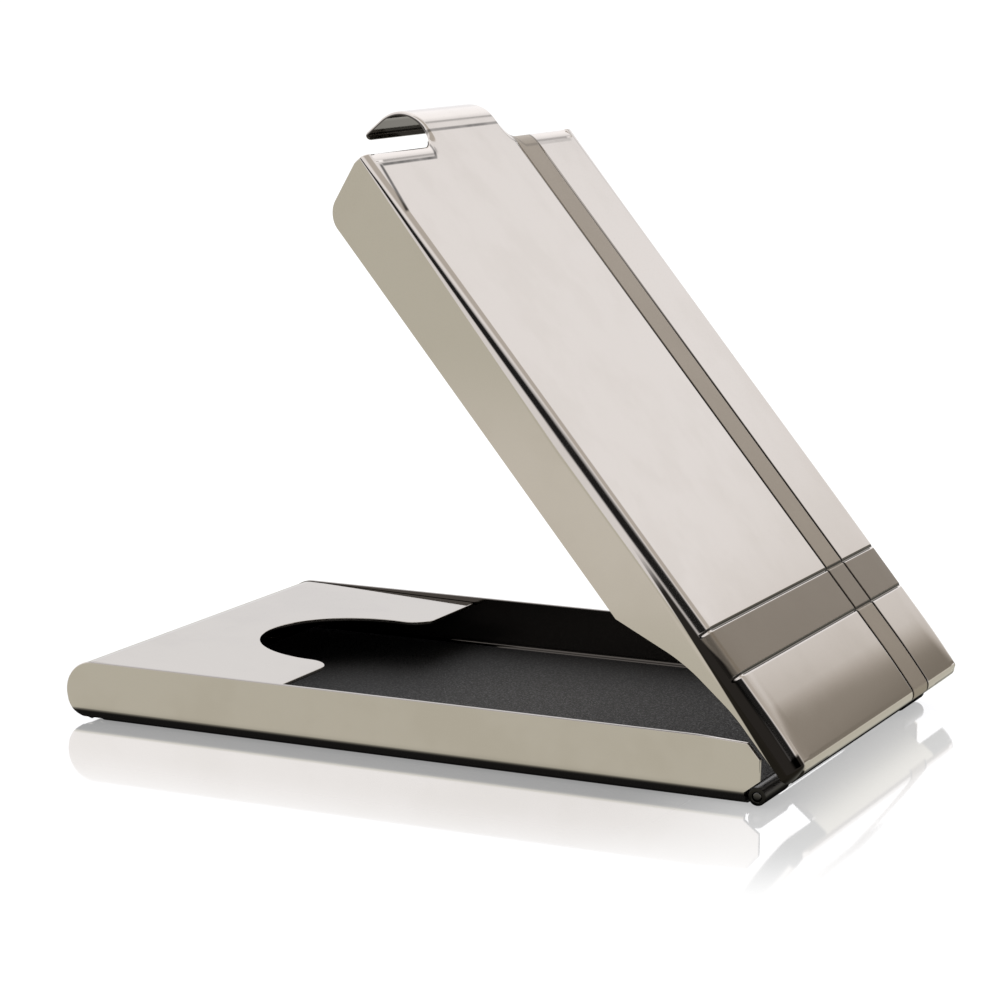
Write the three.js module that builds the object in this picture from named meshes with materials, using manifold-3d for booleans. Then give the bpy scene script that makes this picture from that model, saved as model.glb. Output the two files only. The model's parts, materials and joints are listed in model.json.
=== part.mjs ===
// Flat pocket case for bank notes and cards, standing open.
// A shallow tray, a sprung retaining plate, and a flip lid that snaps over the front with a hooked latch.
//
// Millimetres, +Z up. The origin is the centre of the tray's underside. +X runs towards the hinge,
// -X towards the front where the latch closes, and Y runs across the width.
//
// The lid's own frame has its origin on the hinge axis. "along" is the distance from the axis towards
// the latch and "up" is the height above the axis, both with the lid shut: x = -along, z = up.

import * as THREE from 'three';
import { mergeVertices } from 'three/addons/utils/BufferGeometryUtils.js';
import Module from 'manifold-3d';

const wasm = await Module();
wasm.setup();

// ---------------------------------------------------------------- driving dimensions

const LID_OPEN_DEG = 50.3;

const HINGE_X = 49.0;
const HINGE_Z = 1.3;
const KNUCKLE_R = 1.15;
const PIN_R = 0.6;
const PIN_RUNNING_GAP = 0.06;
const KNUCKLE_SPLIT_Y = 22.0;
const KNUCKLE_GAP = 0.3;

const HALF_WIDTH = 30.0;
const TRAY_SHEET = 0.6;
const TRAY_BEND_R = 1.75;
const WALL_TOP = 8.12;
const WALL_EDGE_BREAK = 0.25;
const FRONT_X = -49.9;
const WALL_END_X = 49.3;
const WALL_END_DROP = 0.3;
const WALL_END_RAMP = 6.0;
const FLOOR_END_X = 47.3;
const NOSE_R = WALL_TOP / 2;
const NOSE_X = FRONT_X + NOSE_R;
const NOSE_Z = NOSE_R;

const STACK_GAP = 0.05;
const SIDE_GAP = 0.3;

const CLIP_SHEET = 0.5;
const CLIP_BEND_R = NOSE_R - 0.075;
const CLIP_HALF_WIDTH = HALF_WIDTH - TRAY_SHEET - SIDE_GAP;
const CLIP_SLOPE_DEG = 2.4;
const CLIP_INNER_X = -18.5;
const CLIP_SPLIT_DEG = 260;
const CLIP_SPLIT_GAP_DEG = 6;
const NOTCH_R = 13.2;
const NOTCH_DEPTH = 17.0;
const NOTCH_MOUTH_R = 3.3;
const FOOT_JOGGLE = 0.775;
const FOOT_END_X = -38.0;

const PAD_TOP = 1.45;
const PAD_HALF_WIDTH = 28.2;
const LEAF_SHEET = 0.4;
const BASE_LEAF_X = 40.0;

const LID_HALF_WIDTH = 30.85;
const LID_TOP = 7.6;
const LID_SHEET = 0.5;
const LID_EDGE_R = 1.8;
const LID_INNER_EDGE_R = 0.8;
const LID_BACK = 1.0;
const LID_BACK_R = 1.3;
const LID_CORNER_R = 1.5;
const LID_INNER_CORNER_R = 0.6;
const LID_LENGTH = 91.9;
const LID_LIP_R = 1.5;
const LID_LIP_BOTTOM = 6.95;
const SKIRT_BOTTOM = -1.15;
const SKIRT_BACK_BOTTOM = 4.25;
const TONGUE_BOTTOM = 1.45;
const TONGUE_HALF_WIDTH = 20.0;
const CROWN_START = 8.0;
const CROWN_R = 105.0;

const TAB_HALF_WIDTH = 10.4;
const TAB_ROOT_R = 3.0;
const HOOK_INNER = 99.4;
const HOOK_R = 4.6;
const BEAD_R = 0.4;
const BEAD_ALONG = 99.5;
const BEAD_UP = 0.3;

const GROOVE_WIDTH = 0.7;
const GROOVE_DEPTH = 0.22;
const GROOVE_REACH = 1.1; // how far below the face the grooves run down its rounded edges
const LONG_GROOVES_Y = [11.5, 17.5];
const CROSS_GROOVES_ALONG = [13.2, 19.7];

const LID_PAD = { from: 7.0, to: 84.0, halfWidth: 28.9, thickness: 0.4 };
const LID_LEAF = { halfWidth: 19.7, top: 6.0, foot: 0.9 };

const CLEAR = 5.0; // how far a cutting body reaches past what it cuts
const ARC_STEP_DEG = 7.5;
const ROUND_SIDES = 24;

const radians = THREE.MathUtils.degToRad;

// ---------------------------------------------------------------- outlines

// Points on an arc, both ends included, from one angle to the other in degrees.
function arc(cx, cy, r, from, to) {
  const steps = Math.max(2, Math.ceil(Math.abs(to - from) / ARC_STEP_DEG));
  return Array.from({ length: steps + 1 }, (_, i) => {
    const a = radians(from + ((to - from) * i) / steps);
    return [cx + r * Math.cos(a), cy + r * Math.sin(a)];
  });
}

// A closed outline through corners [x, y, radius]; a corner with a radius is rounded by a true arc.
function outline(corners) {
  const count = corners.length;
  return corners.flatMap(([x, y, r = 0], i) => {
    if (r === 0) return [[x, y]];
    const here = new THREE.Vector2(x, y);
    const before = new THREE.Vector2(...corners[(i + count - 1) % count].slice(0, 2)).sub(here).normalize();
    const after = new THREE.Vector2(...corners[(i + 1) % count].slice(0, 2)).sub(here).normalize();
    const half = Math.acos(before.dot(after)) / 2;
    const centre = before.clone().add(after).normalize().multiplyScalar(r / Math.sin(half)).add(here);
    const start = before.multiplyScalar(r / Math.tan(half)).add(here).sub(centre);
    const end = after.multiplyScalar(r / Math.tan(half)).add(here).sub(centre);
    const from = THREE.MathUtils.radToDeg(start.angle());
    let sweep = THREE.MathUtils.radToDeg(end.angle()) - from;
    if (sweep > 180) sweep -= 360;
    if (sweep < -180) sweep += 360;
    return arc(centre.x, centre.y, r, from, from + sweep);
  });
}

// ---------------------------------------------------------------- solids

function solid(geometry) {
  geometry.deleteAttribute('normal');
  geometry.deleteAttribute('uv');
  const merged = mergeVertices(geometry, 1e-5);
  return new wasm.Manifold(new wasm.Mesh({
    numProp: 3,
    vertProperties: new Float32Array(merged.attributes.position.array),
    triVerts: new Uint32Array(merged.index.array),
  }));
}

function extrusion(points, depth) {
  const shape = new THREE.Shape(points.map(([x, y]) => new THREE.Vector2(x, y)));
  return new THREE.ExtrudeGeometry(shape, { depth, bevelEnabled: false });
}

// An outline in (y, z) drawn out along X.
function alongX(points, x0, x1) {
  const turn = new THREE.Matrix4().makeBasis(
    new THREE.Vector3(0, 1, 0), new THREE.Vector3(0, 0, 1), new THREE.Vector3(1, 0, 0),
  );
  return solid(extrusion(points, x1 - x0).applyMatrix4(turn).translate(x0, 0, 0));
}

// An outline in (x, z) drawn out along Y.
function alongY(points, y0, y1) {
  return solid(extrusion(points, y1 - y0).rotateX(Math.PI / 2).translate(0, y1, 0));
}

// An outline in (x, y) drawn out along Z.
function alongZ(points, z0, z1) {
  return solid(extrusion(points, z1 - z0).translate(0, 0, z0));
}

function box(x0, x1, y0, y1, z0, z1) {
  return alongZ([[x0, y0], [x1, y0], [x1, y1], [x0, y1]], z0, z1);
}

// A round bar along Y.
function bar(x, z, r, y0, y1) {
  const geometry = new THREE.CylinderGeometry(r, r, y1 - y0, ROUND_SIDES);
  return solid(geometry.translate(x, (y0 + y1) / 2, z));
}

function union(first, ...others) {
  return others.reduce((whole, next) => whole.add(next), first);
}

function common(first, ...others) {
  return others.reduce((whole, next) => whole.intersect(next), first);
}

function less(first, ...others) {
  return others.reduce((whole, next) => whole.subtract(next), first);
}

// Turns a side outline given as [along, up, radius] into the lid frame's [x, z, radius].
function lidSide(corners) {
  return corners.map(([along, up, r]) => (r === undefined ? [-along, up] : [-along, up, r]));
}

// ---------------------------------------------------------------- tray

function baseTray() {
  const inner = HALF_WIDTH - TRAY_SHEET;
  const innerBend = TRAY_BEND_R - TRAY_SHEET;
  const section = outline([
    [-HALF_WIDTH, 0, TRAY_BEND_R],
    [HALF_WIDTH, 0, TRAY_BEND_R],
    [HALF_WIDTH, WALL_TOP - WALL_EDGE_BREAK],
    [HALF_WIDTH - WALL_EDGE_BREAK, WALL_TOP],
    [inner, WALL_TOP],
    [inner, TRAY_SHEET, innerBend],
    [-inner, TRAY_SHEET, innerBend],
    [-inner, WALL_TOP],
    [-HALF_WIDTH + WALL_EDGE_BREAK, WALL_TOP],
    [-HALF_WIDTH, WALL_TOP - WALL_EDGE_BREAK],
  ]);
  const side = outline([
    [FRONT_X, 0, NOSE_R],
    [FLOOR_END_X, 0],
    [FLOOR_END_X, 1.65],
    [WALL_END_X, 3.2],
    [WALL_END_X, WALL_TOP - WALL_END_DROP, 0.8],
    [WALL_END_X - WALL_END_RAMP, WALL_TOP],
    [FRONT_X, WALL_TOP, NOSE_R],
  ]);
  const floorFront = NOSE_X + FOOT_JOGGLE + SIDE_GAP;
  return less(
    common(alongX(section, FRONT_X - 1, WALL_END_X + 1), alongY(side, -CLEAR - HALF_WIDTH, CLEAR + HALF_WIDTH)),
    box(FRONT_X - 1, floorFront, -inner, inner, -1, TRAY_BEND_R + 1),
  );
}

// The liner lies on the floor and is thinned from below over the clip's foot and the hinge leaf.
function trayLiner() {
  const front = NOSE_X + FOOT_JOGGLE + STACK_GAP;
  const underside = TRAY_SHEET + STACK_GAP;
  const plan = outline([
    [front, -PAD_HALF_WIDTH, 0.5],
    [FLOOR_END_X, -PAD_HALF_WIDTH, 0.5],
    [FLOOR_END_X, PAD_HALF_WIDTH, 0.5],
    [front, PAD_HALF_WIDTH, 0.5],
  ]);
  return less(
    alongZ(plan, underside, PAD_TOP),
    box(front - CLEAR, FOOT_END_X + SIDE_GAP, -HALF_WIDTH, HALF_WIDTH, 0, underside + CLIP_SHEET + STACK_GAP),
    box(BASE_LEAF_X - SIDE_GAP, HINGE_X, -HALF_WIDTH, HALF_WIDTH, 0, underside + LEAF_SHEET + STACK_GAP),
  );
}

// ---------------------------------------------------------------- sprung clip

// The retaining plate and the open bend that it springs on. It leaves the bend with a slight fall
// towards its free edge, which has a thumb notch.
function clipPlate() {
  const slope = radians(CLIP_SLOPE_DEG);
  const top = 90 - CLIP_SLOPE_DEG;
  const inner = CLIP_BEND_R - CLIP_SHEET;
  const reach = (CLIP_INNER_X + 1 - NOSE_X) / Math.cos(slope);
  const tip = (r) => [
    NOSE_X + r * Math.sin(slope) + reach * Math.cos(slope),
    NOSE_Z + r * Math.cos(slope) - reach * Math.sin(slope),
  ];
  const side = [
    ...arc(NOSE_X, NOSE_Z, CLIP_BEND_R, CLIP_SPLIT_DEG, top),
    tip(CLIP_BEND_R),
    tip(inner),
    ...arc(NOSE_X, NOSE_Z, inner, top, CLIP_SPLIT_DEG),
  ];
  const notchEnd = CLIP_INNER_X - NOTCH_DEPTH;
  const plan = outline([
    [FRONT_X - 1, -CLIP_HALF_WIDTH],
    [CLIP_INNER_X, -CLIP_HALF_WIDTH, 0.6],
    [CLIP_INNER_X, -NOTCH_R, NOTCH_MOUTH_R],
    [notchEnd, -NOTCH_R, NOTCH_R - 0.001],
    [notchEnd, NOTCH_R, NOTCH_R - 0.001],
    [CLIP_INNER_X, NOTCH_R, NOTCH_MOUTH_R],
    [CLIP_INNER_X, CLIP_HALF_WIDTH, 0.6],
    [FRONT_X - 1, CLIP_HALF_WIDTH],
  ]);
  return common(alongY(side, -HALF_WIDTH, HALF_WIDTH), alongZ(plan, -1, WALL_TOP + 1));
}

// The foot of the same sheet, stepped up over the tray's floor and held under the liner.
function clipAnchor() {
  const start = CLIP_SPLIT_DEG + CLIP_SPLIT_GAP_DEG;
  const inner = CLIP_BEND_R - CLIP_SHEET;
  const underside = TRAY_SHEET + STACK_GAP;
  const stepEnd = NOSE_X + FOOT_JOGGLE;
  const side = [
    ...arc(NOSE_X, NOSE_Z, CLIP_BEND_R, start, 270),
    [stepEnd, underside],
    [FOOT_END_X, underside],
    [FOOT_END_X, underside + CLIP_SHEET],
    [stepEnd - 0.15, underside + CLIP_SHEET],
    ...arc(NOSE_X, NOSE_Z, inner, 270, start),
  ];
  return alongY(side, -CLIP_HALF_WIDTH + 1.1, CLIP_HALF_WIDTH - 1.1);
}

// ---------------------------------------------------------------- hinge

function baseHingeLeaf() {
  const z0 = TRAY_SHEET + STACK_GAP;
  const z1 = z0 + LEAF_SHEET;
  const boreR = PIN_R + PIN_RUNNING_GAP;
  const leaf = box(BASE_LEAF_X, HINGE_X - KNUCKLE_R - 0.35, -PAD_HALF_WIDTH, PAD_HALF_WIDTH, z0, z1);
  const ends = [-1, 1].map((side) => {
    const y = [side * KNUCKLE_SPLIT_Y, side * PAD_HALF_WIDTH].sort((a, b) => a - b);
    const arm = box(HINGE_X - KNUCKLE_R - 1, HINGE_X - PIN_R, y[0], y[1], z0, z1);
    const barrelEnds = [side * KNUCKLE_SPLIT_Y, side * HALF_WIDTH].sort((a, b) => a - b);
    return union(arm, bar(HINGE_X, HINGE_Z, KNUCKLE_R, ...barrelEnds));
  });
  return less(union(leaf, ...ends), bar(HINGE_X, HINGE_Z, boreR, -HALF_WIDTH - 1, HALF_WIDTH + 1));
}

function hingePin() {
  return bar(HINGE_X, HINGE_Z, PIN_R, -HALF_WIDTH, HALF_WIDTH);
}

function lidHingeLeaf() {
  const halfLength = KNUCKLE_SPLIT_Y - KNUCKLE_GAP;
  const x1 = LID_BACK - LID_SHEET - STACK_GAP;
  const leaf = box(x1 - LEAF_SHEET, x1, -LID_LEAF.halfWidth, LID_LEAF.halfWidth, LID_LEAF.foot, LID_LEAF.top);
  return less(
    union(bar(0, 0, KNUCKLE_R, -halfLength, halfLength), leaf),
    bar(0, 0, PIN_R + PIN_RUNNING_GAP, -HALF_WIDTH, HALF_WIDTH),
  );
}

// ---------------------------------------------------------------- lid

// How far the crowned face has fallen at a distance from the hinge axis.
function crownDrop(along) {
  const past = Math.max(0, CROWN_START - along);
  return (past * past) / (2 * CROWN_R);
}

// The crowned back of the lid's side outline, from the flat of the face down over the back edge.
function lidBackCurve(top, back, r) {
  const centreAlong = r - back;
  const tilt = Math.atan((CROWN_START - centreAlong) / CROWN_R);
  const joinAlong = centreAlong - r * Math.sin(tilt);
  const joinUp = top - crownDrop(joinAlong);
  const steps = 8;
  const crown = Array.from({ length: steps }, (_, i) => {
    const along = CROWN_START + ((joinAlong - CROWN_START) * i) / steps;
    return [-along, top - crownDrop(along)];
  });
  const turn = arc(-centreAlong, joinUp - r * Math.cos(tilt), r, 90 - THREE.MathUtils.radToDeg(tilt), 0);
  return [...crown, ...turn];
}

// The lid's outer form as a full body, or the same form shrunk by an inset.
function lidForm(inset) {
  const half = LID_HALF_WIDTH - inset;
  const top = LID_TOP - inset;
  const back = LID_BACK - inset;
  const length = LID_LENGTH - inset;
  const low = SKIRT_BOTTOM - CLEAR;
  const section = outline([
    [-half, low],
    [half, low],
    [half, top, LID_EDGE_R - inset],
    [-half, top, LID_EDGE_R - inset],
  ]);
  const side = [
    ...lidBackCurve(top, back, LID_BACK_R - inset),
    [back, low],
    ...outline([[-length, low], [-length, top, LID_LIP_R - inset], [-CROWN_START - 1, top]]),
  ];
  const plan = outline([
    [-length, -half, LID_CORNER_R - inset],
    [back, -half, LID_CORNER_R - inset],
    [back, half, LID_CORNER_R - inset],
    [-length, half, LID_CORNER_R - inset],
  ]);
  return common(
    alongX(section, -length - CLEAR, back + CLEAR),
    alongY(side, -half - CLEAR, half + CLEAR),
    alongZ(plan, low, top + CLEAR),
  );
}

// The hollow of the lid, open below and at the latch end under the turned lip.
function lidHollow() {
  const half = LID_HALF_WIDTH - LID_SHEET;
  const top = LID_TOP - LID_SHEET;
  const back = LID_BACK - LID_SHEET;
  const low = SKIRT_BOTTOM - 2 * CLEAR;
  const past = LID_LENGTH + CLEAR;
  const lipInnerR = LID_LIP_R - LID_SHEET;
  const lipStart = LID_LENGTH - LID_LIP_R;
  const lipEndDeg = THREE.MathUtils.radToDeg(Math.asin((LID_LIP_BOTTOM - LID_TOP + LID_LIP_R) / lipInnerR));
  const section = outline([
    [-half, low],
    [half, low],
    [half, top, LID_INNER_EDGE_R],
    [-half, top, LID_INNER_EDGE_R],
  ]);
  const side = [
    ...lidBackCurve(top, back, LID_BACK_R - LID_SHEET),
    [back, low],
    [-past, low],
    [-past, LID_LIP_BOTTOM],
    ...arc(-lipStart, LID_TOP - LID_LIP_R, lipInnerR, 180 - lipEndDeg, 90),
  ];
  const plan = outline([
    [-past, -half],
    [back, -half, LID_INNER_CORNER_R],
    [back, half, LID_INNER_CORNER_R],
    [-past, half],
  ]);
  return common(
    alongX(section, -past, back + 1),
    alongY(side, -half - 1, half + 1),
    alongZ(plan, low, top + 1),
  );
}

// Everything above the lower edge of the side skirts, which steps up towards the hinge,
// and the tongue in the middle of the back wall.
function lidTrim() {
  const above = LID_TOP + CLEAR;
  const wide = LID_HALF_WIDTH + 1;
  const skirts = outline(lidSide([
    [-LID_BACK - 1, SKIRT_BACK_BOTTOM],
    [9.5, SKIRT_BACK_BOTTOM, 20],
    [18.0, 2.9, 20],
    [27.3, SKIRT_BOTTOM],
    [89.0, SKIRT_BOTTOM, 3],
    [LID_LENGTH, 6.2],
    [LID_LENGTH + 1, 6.2],
    [LID_LENGTH + 1, above],
    [-LID_BACK - 1, above],
  ]));
  const tongue = outline([
    [-TONGUE_HALF_WIDTH, TONGUE_BOTTOM, 1],
    [TONGUE_HALF_WIDTH, TONGUE_BOTTOM, 1],
    [TONGUE_HALF_WIDTH, SKIRT_BACK_BOTTOM + 1],
    [-TONGUE_HALF_WIDTH, SKIRT_BACK_BOTTOM + 1],
  ]);
  return union(alongY(skirts, -wide, wide), alongX(tongue, 0, LID_BACK + 1));
}

// The latch tab: it carries on the face, turns down round the front of the case and ends in a rolled bead.
function latchTab() {
  const hookOuter = HOOK_INNER + LID_SHEET;
  const start = LID_LENGTH - 2;
  const inner = HOOK_R - LID_SHEET;
  const side = lidSide([
    ...outline([[start, LID_TOP], [hookOuter, LID_TOP, HOOK_R], [hookOuter, BEAD_UP]]),
    ...outline([[HOOK_INNER, BEAD_UP], [HOOK_INNER, LID_TOP - LID_SHEET, inner], [start, LID_TOP - LID_SHEET]]),
  ]);
  const rootEnd = TAB_HALF_WIDTH + TAB_ROOT_R;
  const plan = outline([
    [-start, -rootEnd],
    [-start, rootEnd],
    [-LID_LENGTH + LID_LIP_R, rootEnd],
    [-LID_LENGTH, rootEnd - 0.001],
    [-LID_LENGTH, TAB_HALF_WIDTH, TAB_ROOT_R - 0.01],
    [-hookOuter - 1, TAB_HALF_WIDTH],
    [-hookOuter - 1, -TAB_HALF_WIDTH],
    [-LID_LENGTH, -TAB_HALF_WIDTH, TAB_ROOT_R - 0.01],
    [-LID_LENGTH, -rootEnd + 0.001],
    [-LID_LENGTH + LID_LIP_R, -rootEnd],
  ]);
  return union(
    common(alongY(side, -rootEnd, rootEnd), alongZ(plan, -CLEAR, LID_TOP + 1)),
    bar(-BEAD_ALONG, BEAD_UP, BEAD_R, -TAB_HALF_WIDTH, TAB_HALF_WIDTH),
  );
}

// The grooves that edge the two satin bands, pressed into the face and over its rounded edges.
function grooves() {
  const half = GROOVE_WIDTH / 2;
  const wide = LID_HALF_WIDTH + 1;
  const edge = LID_TOP - GROOVE_REACH;
  const above = LID_TOP + 1;
  const long = LONG_GROOVES_Y.map((y) => box(-LID_LENGTH - 1, LID_BACK + 1, y - half, y + half, edge - 0.5, above));
  const cross = CROSS_GROOVES_ALONG.map((a) => box(-a - half, -a + half, -wide, wide, edge, above));
  return less(union(...long, ...cross), lidForm(GROOVE_DEPTH));
}

// The groove nearer the tab carries on over the root of the tab.
function tabRootGroove() {
  const [y] = LONG_GROOVES_Y;
  const half = GROOVE_WIDTH / 2;
  const past = LID_LENGTH + TAB_ROOT_R;
  return box(-past, -LID_LENGTH + 3, y - half, y + half, LID_TOP - GROOVE_DEPTH, LID_TOP + 1);
}

function lidShell() {
  const shell = less(common(less(lidForm(0), lidHollow()), lidTrim()), grooves());
  return less(union(shell, latchTab()), tabRootGroove());
}

function lidLiner() {
  const top = LID_TOP - LID_SHEET - STACK_GAP;
  const plan = outline([
    [-LID_PAD.to, -LID_PAD.halfWidth, 1],
    [-LID_PAD.from, -LID_PAD.halfWidth, 1],
    [-LID_PAD.from, LID_PAD.halfWidth, 1],
    [-LID_PAD.to, LID_PAD.halfWidth, 1],
  ]);
  return alongZ(plan, top - LID_PAD.thickness, top);
}

// ---------------------------------------------------------------- finishes and assembly

const finishes = {
  polished: { color: 0xb9b3a6, roughness: 0.12, metalness: 1.0 },
  mirror: { color: 0xd6d0cb, roughness: 0.06, metalness: 1.0 },
  darkSteel: { color: 0x2c2926, roughness: 0.35, metalness: 1.0 },
  pinSteel: { color: 0x6b6761, roughness: 0.3, metalness: 1.0 },
  liner: { color: 0x4b4845, roughness: 0.85, metalness: 0.0 },
};

function part(name, body, finish) {
  const { vertProperties, triVerts } = body.getMesh();
  const geometry = new THREE.BufferGeometry();
  geometry.setAttribute('position', new THREE.BufferAttribute(new Float32Array(vertProperties), 3));
  geometry.setIndex(new THREE.BufferAttribute(new Uint32Array(triVerts), 1));
  geometry.computeVertexNormals();
  const mesh = new THREE.Mesh(geometry, new THREE.MeshStandardMaterial(finishes[finish]));
  mesh.name = name;
  return mesh;
}

const base = new THREE.Group();
base.add(
  part('base_tray', baseTray(), 'polished'),
  part('tray_liner', trayLiner(), 'liner'),
  part('clip_anchor', clipAnchor(), 'mirror'),
  part('clip_plate', clipPlate(), 'mirror'),
  part('base_hinge_leaf', baseHingeLeaf(), 'darkSteel'),
  part('hinge_pin', hingePin(), 'pinSteel'),
);

const lid = new THREE.Group();
lid.position.set(HINGE_X, 0, HINGE_Z);
lid.rotation.y = radians(LID_OPEN_DEG);
lid.add(
  part('lid_shell', lidShell(), 'polished'),
  part('lid_liner', lidLiner(), 'liner'),
  part('lid_hinge_leaf', lidHingeLeaf(), 'darkSteel'),
);

const noteCase = new THREE.Group();
noteCase.add(base, lid);

export default noteCase;
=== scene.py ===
"""Polished pocket case for notes and cards, standing open: its looks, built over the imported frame.

Every piece is shaped on a bench in millimetres, in the frame of the body that carries it, and is then
set down in the frame's metres. The lid's bench frame has its origin on the hinge axis, with -X towards
the latch and +Z out of the lid's face when it is shut.
"""

import json
import logging
import math
from collections.abc import Callable, Iterator
from contextlib import contextmanager
from dataclasses import dataclass
from enum import Enum
from functools import reduce
from typing import ClassVar

import bmesh
import bpy
from mathutils import Matrix, Vector


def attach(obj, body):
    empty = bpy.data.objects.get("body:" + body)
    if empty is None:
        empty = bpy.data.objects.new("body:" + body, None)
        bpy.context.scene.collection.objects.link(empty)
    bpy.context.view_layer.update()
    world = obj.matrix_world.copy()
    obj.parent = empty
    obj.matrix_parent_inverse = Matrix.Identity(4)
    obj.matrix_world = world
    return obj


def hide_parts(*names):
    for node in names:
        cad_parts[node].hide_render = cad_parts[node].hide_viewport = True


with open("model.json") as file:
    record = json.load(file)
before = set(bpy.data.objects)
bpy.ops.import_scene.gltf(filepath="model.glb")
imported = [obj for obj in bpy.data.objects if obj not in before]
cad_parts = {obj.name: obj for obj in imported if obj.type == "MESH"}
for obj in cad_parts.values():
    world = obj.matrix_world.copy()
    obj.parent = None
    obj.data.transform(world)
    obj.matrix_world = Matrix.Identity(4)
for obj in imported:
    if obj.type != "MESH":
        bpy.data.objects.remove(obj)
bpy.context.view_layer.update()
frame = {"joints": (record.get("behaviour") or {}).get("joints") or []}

LOG = logging.getLogger("pocket_case")

MM = 0.001
# Points closer than this are one point, in millimetres.
TOUCHING = 1e-4
# Faces that differ by less than this lie in one plane, in degrees.
LEVEL = 0.1
Point = tuple[float, float, float]
Span = tuple[float, float]
Colour = tuple[float, float, float, float]
Socket = bpy.types.NodeSocket
Test = Callable[..., bool]


# ---------------------------------------------------------------- the bench


class Part(Enum):
    """What a step picks on a piece."""

    POINT = "VERT"
    EDGE = "EDGE"
    FACE = "FACE"


class Axis(Enum):
    """A direction of the bench."""

    X = (1.0, 0.0, 0.0)
    Y = (0.0, 1.0, 0.0)
    Z = (0.0, 0.0, 1.0)


def near(value: float, target: float, slack: float = 0.01) -> bool:
    """True if two lengths agree within the slack."""
    return abs(value - target) < slack


def smooth_step(value: float) -> float:
    """A soft ramp from 0 to 1 as the value goes from 0 to 1."""
    held = min(1.0, max(0.0, value))
    return held * held * (3.0 - 2.0 * held)


class Workpiece:
    """One piece on the bench: a mesh object and the steps that shape it."""

    def __init__(self, name: str, low: Point, high: Point) -> None:
        """Starts the piece as a block.

        Args:
            name: The piece's name.
            low: The block's lowest corner, in bench millimetres.
            high: Its highest corner.
        """
        a, b = Vector(low), Vector(high)
        bpy.ops.object.select_all(action="DESELECT")
        bpy.ops.mesh.primitive_cube_add(size=1.0, location=(a + b) / 2, scale=b - a)
        self._adopt(name)

    def _adopt(self, name: str) -> None:
        """Takes the new primitive as this piece, with its place in its mesh.

        Args:
            name: The piece's name.
        """
        bpy.ops.object.transform_apply(location=True, rotation=True, scale=True)
        self.obj = bpy.context.object
        self.obj.name = name
        self.obj.data.name = name

    def _choose(self) -> None:
        """Makes this the one object that is selected and active."""
        bpy.ops.object.select_all(action="DESELECT")
        bpy.context.view_layer.objects.active = self.obj
        self.obj.select_set(True)

    @contextmanager
    def _editing(self) -> Iterator[bmesh.types.BMesh]:
        """Opens the piece in edit mode, with nothing else selected.

        Yields:
            The mesh to pick from.
        """
        self._choose()
        bpy.ops.object.mode_set(mode="EDIT")
        try:
            yield bmesh.from_edit_mesh(self.obj.data)
        finally:
            bpy.ops.object.mode_set(mode="OBJECT")

    def _pick(self, mesh: bmesh.types.BMesh, part: Part, test: Test) -> None:
        """Selects the points, edges or faces that pass a test.

        Args:
            mesh: The piece's mesh, open in edit mode.
            part: What to pick.
            test: Called with a point's place, an edge's two ends, or a face's centre and normal.
        """
        bpy.ops.mesh.select_mode(type=part.value)
        bpy.ops.mesh.select_all(action="DESELECT")
        if part is Part.POINT:
            chosen = [v for v in mesh.verts if test(v.co)]
        elif part is Part.EDGE:
            chosen = [e for e in mesh.edges if test(e.verts[0].co, e.verts[1].co)]
        else:
            chosen = [f for f in mesh.faces if test(f.calc_center_median(), f.normal)]
        for item in chosen:
            item.select_set(True)
        bmesh.update_edit_mesh(self.obj.data)

    @contextmanager
    def _picked(self, part: Part, test: Test) -> Iterator[None]:
        """Opens the piece in edit mode with what passes a test selected.

        Args:
            part: What to pick.
            test: Picks it.
        """
        with self._editing() as mesh:
            self._pick(mesh, part, test)
            yield

    def round_edges(self, test: Test, radius: float, segments: int, held: bool = True) -> None:
        """Rounds the edges that pass a test.

        Args:
            test: Picks the edges.
            radius: How far the round reaches.
            segments: How many faces go round each edge.
            held: Whether short edges nearby may hold the radius back.
        """
        with self._picked(Part.EDGE, test):
            bpy.ops.mesh.bevel(offset=radius, segments=segments, affect="EDGES", clamp_overlap=held)

    def slice_at(self, axis: Axis, places: list[float], only: Test | None = None) -> None:
        """Cuts lines into the surface on planes square to an axis.

        Args:
            axis: The direction that the planes are square to.
            places: Where the planes stand along it.
            only: Picks the faces that get the lines; all of them if left out.
        """
        with self._editing() as mesh:
            for place in places:
                self._pick(mesh, Part.FACE, only or (lambda centre, normal: True))
                at = Vector(axis.value) * place
                bpy.ops.mesh.bisect(plane_co=at, plane_no=axis.value, threshold=TOUCHING)

    def inset(self, test: Test, width: float, times: int) -> None:
        """Draws lines one inside another, round the faces that pass a test.

        Args:
            test: Picks the faces.
            width: How far apart the lines are.
            times: How many there are.
        """
        with self._picked(Part.FACE, test):
            for _ in range(times):
                bpy.ops.mesh.inset(thickness=width)

    def draw_out(self, test: Test, shift: Point) -> None:
        """Extrudes the faces that pass a test."""
        with self._picked(Part.FACE, test):
            bpy.ops.mesh.extrude_region_move(TRANSFORM_OT_translate={"value": shift})

    def merge_flats(self) -> None:
        """Takes out the lines between faces that lie in one plane."""
        with self._editing():
            bpy.ops.mesh.select_all(action="SELECT")
            bpy.ops.mesh.dissolve_limited(angle_limit=math.radians(LEVEL))

    def bend_on(self, test: Test, centre: Point, degrees: float, steps: int) -> None:
        """Carries the faces that pass a test round a bend across the width, as a sheet is bent.

        Args:
            test: Picks the end of the sheet.
            centre: A point on the bend's axis, which runs along Y.
            degrees: How far the sheet turns, right-handed about +Y.
            steps: How many steps the bend has.
        """
        with self._picked(Part.FACE, test):
            bpy.ops.mesh.spin(steps=steps, angle=-math.radians(degrees), center=centre, axis=Axis.Y.value)

    def shift_points(self, test: Test, shift: Point) -> None:
        """Moves the points that pass a test."""
        with self._picked(Part.POINT, test):
            bpy.ops.transform.translate(value=shift)

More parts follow.
